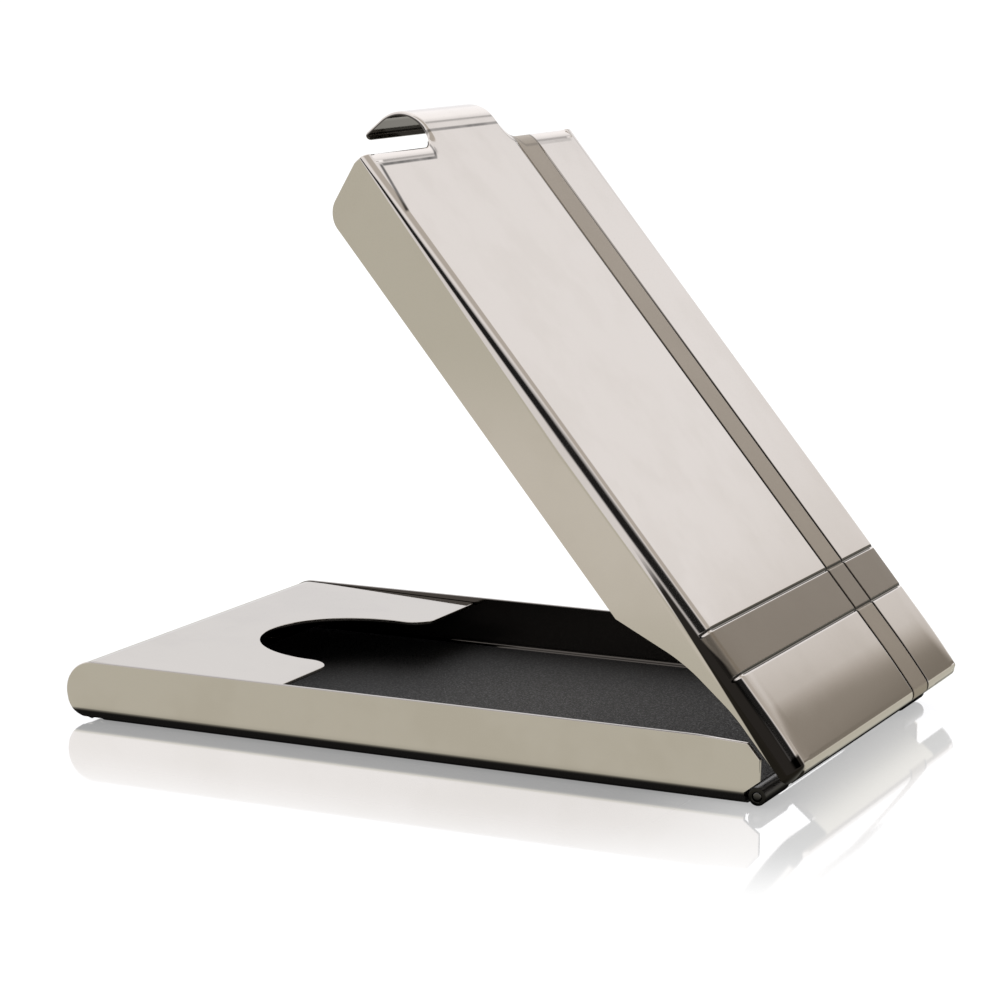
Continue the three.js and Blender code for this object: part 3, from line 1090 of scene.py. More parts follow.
    def _below_skirts(self) -> Outline:
        """What is cut away under the skirts, leaving the tongue in the back wall.

        Returns:
            The tool that cuts it.
        """
        reach = self.half_width + 5
        behind, beyond = self.back + 4, -self.length - 20
        (bend_start, bend_end), (low_start, low_end) = self.skirt_bend, self.skirt_straight
        corners = [
            (behind, self.skirt_hinge, 0),
            (bend_start, self.skirt_hinge, self.skirt_round),
            (bend_end, self.skirt_middle, self.skirt_round),
            (low_start, self.skirt_low, 0),
            (low_end, self.skirt_low, self.skirt_latch_round),
            (-self.length + 0.2, self.skirt_latch, 0),
            (beyond, self.skirt_latch, 0),
            (beyond, self.low - 2, 0),
            (behind, self.low - 2, 0),
        ]
        below = Outline("below", corners, -reach, reach)
        end, half = self.tongue_end, self.tongue_half
        tongue = Workpiece("tongue", (0.0, -half, end), (self.back + 2, half, self.tongue_top))
        at_low = lambda p: near(p.z, end) and near(abs(p.y), half)
        low_corner = lambda a, b: at_low(a) and at_low(b) and near(a.y, b.y)
        tongue.round_edges(low_corner, self.tongue_corner, 8)
        below.cut(tongue)
        return below

    def _bend_hook(self, shell: Workpiece) -> None:
        """Turns the tab down into the latch hook and folds its tip back.

        Args:
            shell: The lid, already hollow.
        """
        end = lambda centre, normal: normal.x < -0.99 and near(centre.x, -self.hook_along, 0.02)
        centre_z = self.top - self.hook_outer
        shell.bend_on(end, (-self.hook_along, 0, centre_z), -90, 30)
        down = lambda centre, normal: normal.z < -0.99 and near(centre.z, centre_z, 0.02) and centre.x < -98
        shell.draw_out(down, (0, 0, self.hook_end - centre_z))
        at_tip = lambda centre: near(centre.z, self.hook_end, 0.02) and centre.x < -98
        tip = lambda centre, normal: normal.z < -0.99 and at_tip(centre)
        inner = -self.hook_along - self.hook_outer + self.sheet
        tip_centre = (inner + self.hook_tip_gap, 0, self.hook_end)
        shell.bend_on(tip, tip_centre, -self.hook_tip_degrees, 18)


@dataclass
class LidPad:
    """The thin dark pad inside the lid."""

    start: float = 7.0
    end: float = 84.0
    half_width: float = 28.9
    thickness: float = 0.4
    top: float = 7.05

    def build(self) -> bpy.types.Object:
        """Cuts the pad and softens its edges.

        Returns:
            The finished pad.
        """
        low, wide = self.top - self.thickness, self.half_width
        pad = Workpiece("lid_pad", (-self.end, -wide, low), (-self.start, wide, self.top))
        pad.round_edges(lambda a, b: not near(a.z, b.z), 1.0, 8)
        pad.round_edges(lambda a, b: near(a.z, low) and near(b.z, low), 0.18, 4)
        return pad.finish(lid_placement(), smooth_degrees=60)


# ---------------------------------------------------------------- finishes


# The colour sockets of a Mix node.
MIX_LOW, MIX_HIGH, MIX_RESULT = 6, 7, 2
# How high the marks on the metal stand, in metres.
MARK_HEIGHT = 0.0000012


def rgb(red: float, green: float, blue: float) -> Colour:
    """A colour with full cover."""
    return (red, green, blue, 1.0)


def past(place: float, span: Span) -> Span:
    """A span set off from a place."""
    return (place + span[0], place + span[1])


class NodeSheet:
    """A node tree being laid out: adds nodes and joins them up."""

    def __init__(self, tree: bpy.types.NodeTree) -> None:
        """Starts on an emptied tree."""
        self.tree = tree
        tree.nodes.clear()

    def add(self, kind: str, **settings: object) -> bpy.types.Node:
        """Adds a node.

        Args:
            kind: The node's type name.
            settings: Its own settings, such as an operation.

        Returns:
            The new node.
        """
        node = self.tree.nodes.new(kind)
        for name, value in settings.items():
            setattr(node, name, value)
        return node

    def put(self, socket: Socket, value: object) -> None:
        """Gives a socket a value, or joins it to an output.

        Args:
            socket: The input.
            value: A plain value, or the output that it is joined to.
        """
        if isinstance(value, Socket):
            self.tree.links.new(value, socket)
        else:
            socket.default_value = value

    def fed(self, kind: str, given: dict, output: int | str = 0, **settings: object) -> Socket:
        """Adds a node, feeds it and gives one of its outputs.

        Args:
            kind: The node's type name.
            given: What its inputs get, by name or by number.
            output: The output's name or number.
            settings: Its own settings, such as an operation.

        Returns:
            The output.
        """
        node = self.add(kind, **settings)
        for key, value in given.items():
            self.put(node.inputs[key], value)
        return node.outputs[output]

    def maths(self, operation: str, *values: object) -> Socket:
        """Works out a number from up to three others."""
        return self.fed("ShaderNodeMath", dict(enumerate(values)), operation=operation)

    def times(self, *factors: object) -> Socket:
        """The product of several numbers."""
        return reduce(lambda a, b: self.maths("MULTIPLY", a, b), factors)

    def most(self, *values: object) -> Socket:
        """The largest of several numbers."""
        return reduce(lambda a, b: self.maths("MAXIMUM", a, b), values)

    def plus(self, value: object, other: object) -> Socket:
        """The sum of two numbers."""
        return self.maths("ADD", value, other)

    def minus(self, value: object, taken: object) -> Socket:
        """A number less another."""
        return self.maths("SUBTRACT", value, taken)

    def size(self, value: object) -> Socket:
        """A number without its sign."""
        return self.maths("ABSOLUTE", value)

    def scaled(self, value: object, factor: object, added: object) -> Socket:
        """A number times a factor, with another added."""
        return self.maths("MULTIPLY_ADD", value, factor, added)

    def distance(self, along: object, across: object) -> Socket:
        """How far it is, from the lengths of two legs at a right angle."""
        return self.maths("SQRT", self.plus(self.times(along, along), self.times(across, across)))

    def ramp(self, value: object, span: Span, low: object = 0.0, high: object = 1.0) -> Socket:
        """A soft ramp from low to high as a value crosses a span."""
        given = dict(enumerate((value, *span, low, high)))
        return self.fed("ShaderNodeMapRange", given, interpolation_type="SMOOTHSTEP")

    def fall(self, value: object, span: Span) -> Socket:
        """A soft ramp from 1 to 0 as a value crosses a span."""
        return self.ramp(value, span, 1.0, 0.0)

    def between(self, value: object, span: Span, edge: float) -> Socket:
        """1 where a value lies in a span and 0 outside it, with soft edges.

        Args:
            value: The value.
            span: Where it gives 1.
            edge: How far each soft edge reaches to either side.

        Returns:
            The mask.
        """
        low, high = span
        rise = self.ramp(value, (low - edge, low + edge))
        return self.times(rise, self.fall(value, (high - edge, high + edge)))

    def blend(self, factor: object, low: object, high: object) -> Socket:
        """A colour between two others."""
        given = {0: factor, MIX_LOW: low, MIX_HIGH: high}
        return self.fed("ShaderNodeMix", given, MIX_RESULT, data_type="RGBA")

    def noise(self, at: object, scale: float, detail: float, rough: float = 0.5) -> Socket:
        """Smooth noise between 0 and 1."""
        given = {"Vector": at, "Scale": scale, "Detail": detail, "Roughness": rough}
        return self.fed("ShaderNodeTexNoise", given, "Fac")

    def mapped(self, at: object, scale: Point, turn: Point = (0.0, 0.0, 0.0)) -> Socket:
        """Scales and turns a pattern's coordinates."""
        return self.fed("ShaderNodeMapping", {"Vector": at, "Scale": scale, "Rotation": turn})

    def split(self, vector: Socket) -> tuple[Socket, ...]:
        """The X, Y and Z of a vector.

        Args:
            vector: The vector.

        Returns:
            Its three numbers.
        """
        node = self.add("ShaderNodeSeparateXYZ")
        self.put(node.inputs[0], vector)
        return tuple(node.outputs)

    def mix(self, factor: object, low: Socket, high: Socket) -> Socket:
        """Mixes two shaders."""
        return self.fed("ShaderNodeMixShader", dict(enumerate((factor, low, high))))


Given = bpy.types.bpy_prop_collection
Outputs = dict[str, Socket]


@dataclass(frozen=True)
class Effect:
    """An effect that several finishes share, kept as a node group."""

    name: str
    fill: Callable[[NodeSheet, Given], Outputs]
    amounts: tuple[tuple[str, float], ...] = ()

    def group(self) -> bpy.types.NodeTree:
        """Gives the node group, building it the first time.

        Returns:
            The node group.
        """
        known = bpy.data.node_groups.get(self.name)
        if known:
            return known
        tree = bpy.data.node_groups.new(self.name, "ShaderNodeTree")
        tree.interface.new_socket("Place", in_out="INPUT", socket_type="NodeSocketVector")
        for name, value in self.amounts:
            socket = tree.interface.new_socket(name, in_out="INPUT", socket_type="NodeSocketFloat")
            socket.default_value = value
        sheet = NodeSheet(tree)
        results = self.fill(sheet, sheet.add("NodeGroupInput").outputs)
        for name in results:
            tree.interface.new_socket(name, in_out="OUTPUT", socket_type="NodeSocketFloat")
        sink = sheet.add("NodeGroupOutput")
        for name, socket in results.items():
            sheet.put(sink.inputs[name], socket)
        return tree


def fill_handling(sheet: NodeSheet, given: Given) -> Outputs:
    """Finger film, cloudy polishing and hairline wiping marks on bright metal.

    Args:
        sheet: The node group's sheet.
        given: The place, the haze and the strength of the marks.

    Returns:
        The effect's outputs.
    """
    place, haze, marks = given[:3]
    film = sheet.ramp(sheet.noise(place, scale=90.0, detail=3.0, rough=0.6), (0.42, 0.68))
    cloud = sheet.noise(place, scale=350.0, detail=2.0)
    wiped = sheet.mapped(place, scale=(9000.0, 500.0, 9000.0), turn=(0.0, 0.0, 0.5))
    hairs = sheet.ramp(sheet.noise(wiped, scale=1.0, detail=4.0, rough=0.7), (0.62, 0.8))
    rough = sheet.scaled(sheet.plus(film, hairs), marks, haze)
    rough = sheet.scaled(sheet.minus(cloud, 0.5), sheet.times(marks, 0.6), rough)
    height = sheet.scaled(hairs, -0.2, sheet.times(cloud, 0.4))
    return {"Roughness": rough, "Height": height, "Film": film}


def fill_brushing(sheet: NodeSheet, given: Given) -> Outputs:
    """Fine matt brushing, as a fibre wheel leaves it.

    Args:
        sheet: The node group's sheet.
        given: The place and the haze.

    Returns:
        The effect's outputs.
    """
    place, haze = given[:2]
    along = sheet.mapped(place, scale=(26000.0, 2600.0, 26000.0))
    streak = sheet.noise(along, scale=1.0, detail=3.0, rough=0.65)
    dust = sheet.noise(place, scale=9000.0, detail=2.0, rough=0.7)
    height = sheet.scaled(dust, 0.5, streak)
    tone = sheet.scaled(sheet.noise(place, scale=160.0, detail=3.0), 0.5, sheet.times(streak, 0.5))
    rough = sheet.scaled(sheet.minus(streak, 0.5), 0.12, haze)
    return {"Roughness": rough, "Height": height, "Tone": tone}


def fill_grain(sheet: NodeSheet, given: Given) -> Outputs:
    """The pebbled grain and pale flecks of a coated pad.

    Args:
        sheet: The node group's sheet.
        given: The place.

    Returns:
        The effect's outputs.
    """
    place = given[0]
    pattern = {"Vector": place, "Scale": 2600.0, "Smoothness": 0.6}
    cells = sheet.fed("ShaderNodeTexVoronoi", pattern, "Distance", feature="SMOOTH_F1")
    pebble = sheet.fall(cells, (0.05, 0.65))
    speck = sheet.ramp(sheet.noise(place, scale=5200.0, detail=2.0, rough=0.75), (0.52, 0.72))
    rough = sheet.ramp(pebble, (0.0, 1.0), low=0.78, high=0.55)
    return {"Roughness": rough, "Height": sheet.scaled(speck, 0.35, pebble), "Fleck": speck}


HANDLING = Effect("handling_marks", fill_handling, (("Haze", 0.08), ("Marks", 0.03)))
BRUSHING = Effect("fine_brushing", fill_brushing, (("Haze", 0.4),))
GRAIN = Effect("pad_grain", fill_grain)


@dataclass(frozen=True)
class Spot:
    """A place on a piece in bench millimetres, with how far aside of the middle it lies."""

    x: Socket
    y: Socket
    z: Socket
    aside: Socket


class FinishSheet(NodeSheet):
    """A material being laid out, with its one shader and Object coordinates at hand."""

    def __init__(self, name: str, metallic: float) -> None:
        """Starts the material with its shader.

        Args:
            name: The material's name.
            metallic: 1 for bare metal, 0 for anything else.
        """
        self.material = bpy.data.materials.new(name)
        self.material.use_nodes = True
        super().__init__(self.material.node_tree)
        self.shader = self.add("ShaderNodeBsdfPrincipled")
        self.put(self.shader.inputs["Metallic"], metallic)
        self.put(self.add("ShaderNodeOutputMaterial").inputs["Surface"], self.shader.outputs[0])
        self.place = self.fed("ShaderNodeTexCoord", {}, "Object")

    def effect(self, effect: Effect, **values: object) -> Outputs:
        """Places a shared effect.

        Args:
            effect: The effect.
            values: What its inputs are set to, by name.

        Returns:
            Its outputs by name.
        """
        node = self.add("ShaderNodeGroup", node_tree=effect.group())
        self.put(node.inputs["Place"], self.place)
        for name, value in values.items():
            self.put(node.inputs[name], value)
        return {socket.name: socket for socket in node.outputs}

    def spot(self, place: Socket) -> Spot:
        """Takes a place in bench millimetres apart."""
        x, y, z = self.split(place)
        return Spot(x, y, z, self.size(y))

    def relief(self, height: Socket, distance: float, strength: float) -> None:
        """Raises the surface by a height field, where 1 stands as high as the distance in metres."""
        given = {"Strength": strength, "Distance": distance, "Height": height}
        self.put(self.shader.inputs["Normal"], self.fed("ShaderNodeBump", given))

    def surface(self, colour: Socket, roughness: Socket) -> None:
        """Gives the shader its colour and roughness."""
        self.put(self.shader.inputs["Base Color"], colour)
        self.put(self.shader.inputs["Roughness"], roughness)


@dataclass(frozen=True)
class Finish:
    """What all finishes have: a name, and a material that is laid out once."""

    name: str
    metallic: ClassVar[float] = 1.0

    def make(self) -> bpy.types.Material:
        """Mixes the finish.

        Returns:
            The material.
        """
        sheet = FinishSheet(self.name, self.metallic)
        self.lay_out(sheet)
        return sheet.material

    def lay_out(self, sheet: FinishSheet) -> None:
        """Lays out the finish's nodes."""
        raise NotImplementedError


@dataclass(frozen=True)
class BrightNickel(Finish):
    """Polished nickel plate, with the film and hairlines of handling."""

    colour: Colour
    filmed: Colour
    haze: float = 0.07
    marks: float = 0.03
    # Painted shade: the colour put where a subclass's mask says the metal lies in shade.
    painted_shade_tone: Colour = (0.10, 0.09, 0.08, 1.0)

    def lay_out(self, sheet: FinishSheet) -> None:
        """Lays out the plate and its painted shade.

        Args:
            sheet: The material's sheet.
        """
        worn = sheet.effect(HANDLING, Haze=self.haze, Marks=self.marks)
        bright = sheet.blend(worn["Film"], self.colour, self.filmed)
        painted_shade = self._painted_shade_mask(sheet, sheet.spot(sheet.mapped(sheet.place, (1 / MM,) * 3)))
        sheet.surface(sheet.blend(painted_shade, bright, self.painted_shade_tone), worn["Roughness"])
        sheet.relief(worn["Height"], MARK_HEIGHT, strength=0.5)

    def _painted_shade_mask(self, sheet: FinishSheet, at: Spot) -> object:
        """How much painted shade a place gets; none on plain bright nickel."""
        return 0.0


@dataclass(frozen=True)
class CaseNickel(BrightNickel):
    """The tray's nickel, with painted shade on its inner faces and a lighter painted shade on its rim."""

    inner_face: Span = (29.44, 29.54)
    over_floor: Span = (0.3, 0.5)
    rim: Span = (7.98, 8.08)
    rim_share: float = 0.5

    def _painted_shade_mask(self, sheet: FinishSheet, at: Spot) -> Socket:
        """How much painted shade a place gets."""
        # Painted shade: full on the inner faces above the floor, half along the rim.
        inside = sheet.times(sheet.fall(at.aside, self.inner_face), sheet.ramp(at.z, self.over_floor))
        return sheet.most(inside, sheet.ramp(at.z, self.rim, 0.0, self.rim_share))


@dataclass(frozen=True)
class ClipNickel(BrightNickel):
    """The clip's nickel, bright outside, with painted shade on the inner side of its bend, its plate and its
    foot.
    """

    inside: Span = (-0.45, -0.3)

    def _painted_shade_mask(self, sheet: FinishSheet, at: Spot) -> Socket:
        """How much painted shade a place gets.

        Args:
            sheet: The material's sheet.
            at: The place.

        Returns:
            From 0 outside the sheet to 1 inside it.
        """
        # Painted shade: the sheet's inner side inside the bend and under the plate, and the foot beneath it,
        # are darkened.
        clip = RetainingClip()
        along = sheet.minus(at.x, clip.bend_x)
        sunk = sheet.times(sheet.most(along, 0.0), math.tan(math.radians(clip.slope)))
        rise = sheet.plus(sheet.minus(at.z, clip.bend_z), sunk)
        reach = sheet.distance(sheet.maths("MINIMUM", along, 0.0), rise)
        return sheet.fall(reach, past(clip.outer, self.inside))


@dataclass(frozen=True)
class HingeShade:
    """Painted shade that climbs the lid's corners from the hinge, in millimetres."""

    climb: float = 2.1
    curve: float = 1.3
    start: float = 1.45
    line_edge: Span = (-0.05, 0.1)
    upper: Span = (-1.3, -0.5)
    upper_run: Span = (0.0, 8.0)
    upper_edge: Span = (0.0, 0.3)
    side_face: Span = (30.0, 30.3)
    side_run: Span = (0.0, 8.0)
    back_ends: Span = (20.2, 21.2)
    back_face: Span = (-0.2, 0.3)
    back_top: Span = (-1.1, -0.8)
    corner_ends: Span = (28.9, 29.3)
    corner_face: Span = (-1.5, -1.0)

    def mask(self, sheet: FinishSheet, lid: Lid, at: Spot) -> Socket:
        """Lays out the mask.

        Args:
            sheet: The material's sheet.
            lid: The lid that it lies on.
            at: The place on the lid.

        Returns:
            How dark the place is, from 0 to 1.
        """
        # Painted shade: a slanted dark strip on the skirts near the hinge, dark back corners and dark corners
        # by the hinge.
        given = dict(enumerate((at.x, -lid.deepening_from, 0.0, 0.0, 1.0)))
        along = sheet.maths("POWER", sheet.fed("ShaderNodeMapRange", given), self.curve)
        line = sheet.scaled(along, -self.climb, lid.top - self.start)
        upper = sheet.ramp(at.x, past(-lid.cross_grooves[1], self.upper_run), *past(lid.top, self.upper))
        side = sheet.times(
            sheet.ramp(sheet.minus(at.z, line), self.line_edge),
            sheet.fall(sheet.minus(at.z, upper), self.upper_edge),
            sheet.ramp(at.aside, self.side_face),
            sheet.ramp(at.x, past(-lid.deepening_from, self.side_run)),
        )
        back = sheet.times(
            sheet.ramp(at.aside, self.back_ends),
            sheet.ramp(at.x, self.back_face),
            sheet.fall(at.z, past(lid.top, self.back_top)),
        )
        corner = sheet.times(sheet.ramp(at.aside, self.corner_ends), sheet.ramp(at.x, self.corner_face))
        return sheet.most(corner, side, back)


@dataclass(frozen=True)
class LatchShade:
    """Painted shade in the crease behind the turned lip, in the corners by the latch and inside the latch
    hook, in millimetres.
    """

    swing: Span = (-0.2, 3.2)
    behind_hook: float = 0.9
    behind_lip: float = 2.0
    root: Span = (0.2, 2.8)
    root_edge: float = 0.5
    root_widening: float = 0.8
    width: Span = (0.08, 0.34)
    far_side: Span = (0.0, 1.5)
    far_share: float = 0.3
    ends: Span = (-3.4, -2.4)
    slant: float = -0.2
    slant_start: float = 2.6
    slant_width: Span = (0.1, 0.6)
    slant_run: Span = (1.9, 9.0)
    slant_edge: float = 0.25
    patches: Span = (0.3, 0.65)
    patch_depths: Span = (0.6, 0.93)
    face: Span = (-0.5, -0.3)
    hook_inside: Span = (-0.4, -0.25)
    hook_depth: float = 0.9
    hook_run: Span = (-2.4, -1.8)

    def mask(self, sheet: FinishSheet, lid: Lid, at: Spot) -> Socket:
        """Lays out the mask.

        Args:
            sheet: The material's sheet.
            lid: The lid that it lies on.
            at: The place on the lid.

        Returns:
            How dark the place is, from 0 to 1.
        """
        # Painted shade: a patchy dark crease behind the lip and the tab, slanted corner marks and the inside
        # of the hook.
        tab, length = lid.tab_half, lid.length
        hook_line, lip_line = self.behind_hook - lid.hook_along, self.behind_lip - length
        behind = sheet.ramp(at.aside, past(tab, self.swing), hook_line, lip_line)
        root = sheet.between(at.aside, past(tab, self.root), self.root_edge)
        widened = sheet.scaled(root, self.root_widening, 1.0)
        apart = sheet.maths("DIVIDE", sheet.size(sheet.minus(at.x, behind)), widened)
        crease = sheet.times(
            sheet.fall(apart, self.width),
            sheet.ramp(at.y, past(tab, self.far_side), 1.0, self.far_share),
            sheet.fall(at.aside, past(lid.half_width, self.ends)),
        )
        slant = sheet.scaled(sheet.plus(at.x, -lip_line), self.slant, self.slant_start - lid.half_width)
        corner = sheet.times(
            sheet.fall(sheet.size(sheet.minus(at.y, slant)), self.slant_width),
            sheet.between(at.x, past(-length, self.slant_run), self.slant_edge),
        )
        patchy = sheet.noise(sheet.place, scale=160.0, detail=3.0, rough=0.6)
        patchy = sheet.ramp(patchy, self.patches, *self.patch_depths)
        crease = sheet.times(sheet.most(crease, corner), patchy, sheet.ramp(at.z, past(lid.top, self.face)))
        rise = sheet.most(sheet.minus(at.z, lid.top - lid.hook_outer), 0.0)
        reach = sheet.distance(sheet.plus(at.x, lid.hook_along), rise)
        within = sheet.times(
            sheet.ramp(reach, past(lid.hook_outer, self.hook_inside), self.hook_depth, 0.0),
            sheet.fall(at.x, past(-length, self.hook_run)),
        )
        return sheet.most(crease, within)


@dataclass(frozen=True)
class BandedNickel(Finish):
    """The lid's finish: polished nickel with satin bands between the grooves."""

    polished: Colour
    filmed: Colour
    satin: Colour
    satin_pale: Colour
    lid: Lid
    haze: float = 0.07
    marks: float = 0.03
    satin_haze: float = 0.36
    satin_height: float = 3.0
    crossed: Colour = (0.12, 0.10, 0.08, 1.0)
    crossed_share: float = 0.36
    # Painted shade: the colour of the dark groove lines, the latch crease and the hinge corners.
    lid_shade_tone: Colour = (0.022, 0.019, 0.016, 1.0)
    outside: Span = (-1.35, -1.15)
    band_edge: float = 0.06
    long_line: Span = (-0.3, 0.3)
    long_edge: float = 0.16
    cross_edge: float = 0.08
    faint_run: float = 6.0
    faint_share: float = 0.4

    def lay_out(self, sheet: FinishSheet) -> None:
        """Lays out the plate, the bands and the painted shade in the grooves, by the latch and by the hinge.

        Args:
            sheet: The material's sheet.
        """
        worn = sheet.effect(HANDLING, Haze=self.haze, Marks=self.marks)
        brushed = sheet.effect(BRUSHING, Haze=self.satin_haze)
        at = self._bench_spot(sheet)
        band, across, grooves = self._bands(sheet, at)
        bright = sheet.blend(worn["Film"], self.polished, self.filmed)
        matt = sheet.blend(brushed["Tone"], self.satin, self.satin_pale)
        matt = sheet.blend(sheet.times(across, self.crossed_share), matt, self.crossed)
        duller = sheet.minus(brushed["Roughness"], worn["Roughness"])
        rough = sheet.scaled(duller, band, worn["Roughness"])
        # Painted shade from the groove lines, the latch and the hinge, mixed in over the metal.
        shades = [shade.mask(sheet, self.lid, at) for shade in (LatchShade(), HingeShade())]
        dark = sheet.most(grooves, *shades)
        sheet.surface(sheet.blend(dark, sheet.blend(band, bright, matt), self.lid_shade_tone), rough)
        height = sheet.scaled(sheet.times(brushed["Height"], self.satin_height), band, worn["Height"])
        sheet.relief(height, MARK_HEIGHT, strength=0.6)

    def _bench_spot(self, sheet: FinishSheet) -> Spot:
        """The place on the lid in its own bench frame."""
        given = {"Vector": sheet.place, "Location": hinge_pin_axis(), "Rotation": (0.0, lid_opening(), 0.0)}
        return sheet.spot(sheet.fed("ShaderNodeMapping", given | {"Scale": (MM,) * 3}, vector_type="TEXTURE"))

    def _bands(self, sheet: FinishSheet, at: Spot) -> tuple[Socket, Socket, Socket]:
        """Lays out the masks that follow the grooves.

        Args:
            sheet: The material's sheet.
            at: The place on the lid.

        Returns:
            Where the satin bands and the cross band alone lie, and the painted shade along the grooves.
        """
        lid, flank = self.lid, self.lid.groove_flank
        cross_low, cross_high = lid.cross_grooves
        outside = sheet.ramp(at.z, past(lid.top, self.outside))
        along = sheet.between(at.y, lid.long_grooves, self.band_edge)
        across = sheet.between(at.x, (2 * flank - cross_high, -cross_low), self.band_edge)
        faint = sheet.ramp(at.x, (self.faint_run - lid.length, -lid.length / 2), self.faint_share, 1.0)
        # Painted shade: dark lines along the grooves, fainter towards the latch on the long ones.
        lines = []
        for groove in lid.long_grooves:
            line = sheet.between(at.y, past(groove - flank / 2, self.long_line), self.long_edge)
            lines.append(sheet.times(line, faint))
        for groove in lid.cross_grooves:
            lines.append(sheet.between(at.x, (-groove, flank - groove), self.cross_edge))
        band = sheet.times(sheet.most(along, across), outside)
        return band, sheet.times(across, outside), sheet.times(sheet.most(*lines), outside)


@dataclass(frozen=True)
class DarkSteel(Finish):
    """Blackened steel, rubbed brighter where it is handled."""

    colour: Colour
    rubbed: Colour
    haze: float = 0.3
    marks: float = 0.08
    brushing: float = 0.9
    rubbing: float = 0.5
    brush_height: float = 0.000003

    def lay_out(self, sheet: FinishSheet) -> None:
        """Lays out the steel and its rubbed places.

        Args:
            sheet: The material's sheet.
        """
        worn = sheet.effect(HANDLING, Haze=self.haze, Marks=self.marks)
        brushed = sheet.effect(BRUSHING, Haze=self.haze)
        rough = sheet.most(worn["Roughness"], sheet.times(brushed["Roughness"], self.brushing))
        sheet.surface(sheet.blend(sheet.times(worn["Film"], self.rubbing), self.colour, self.rubbed), rough)
        sheet.relief(brushed["Height"], self.brush_height, strength=0.5)


@dataclass(frozen=True)
class CoatedPad(Finish):
    """Dark pebbled pad cloth with pale flecks, and painted shade towards the far side and the front."""

    colour: Colour
    fleck: Colour
    # Painted shade: the colour that the cloth fades to towards the far side and the front.
    pad_shade_tone: Colour = (0.004, 0.004, 0.0035, 1.0)
    metallic: ClassVar[float] = 0.0
    far_side: Span = (0.002, 0.026)
    far_share: float = 0.3
    front: Span = (-0.022, 0.012)
    front_share: float = 0.15
    grain_height: float = 0.00003

    def lay_out(self, sheet: FinishSheet) -> None:
        """Lays out the cloth.

        Args:
            sheet: The material's sheet.
        """
        grain = sheet.effect(GRAIN)
        cloud = sheet.ramp(sheet.noise(sheet.place, scale=120.0, detail=3.0), (0.3, 0.7), 0.8, 1.0)
        x, y, _ = sheet.split(sheet.place)
        # Painted shade, falling off towards the far side and the front of the pad.
        far = sheet.ramp(y, self.far_side, 1.0, self.far_share)
        unshaded = sheet.times(far, sheet.ramp(x, self.front, self.front_share, 1.0))
        colour = sheet.blend(sheet.times(grain["Fleck"], cloud), self.colour, self.fleck)
        sheet.surface(sheet.blend(unshaded, self.pad_shade_tone, colour), grain["Roughness"])
        sheet.relief(grain["Height"], self.grain_height, strength=0.6)


def dress(piece: bpy.types.Object, material: bpy.types.Material) -> None:
    """Gives a piece its one material."""
    piece.data.materials.clear()
    piece.data.materials.append(material)


# ---------------------------------------------------------------- studio


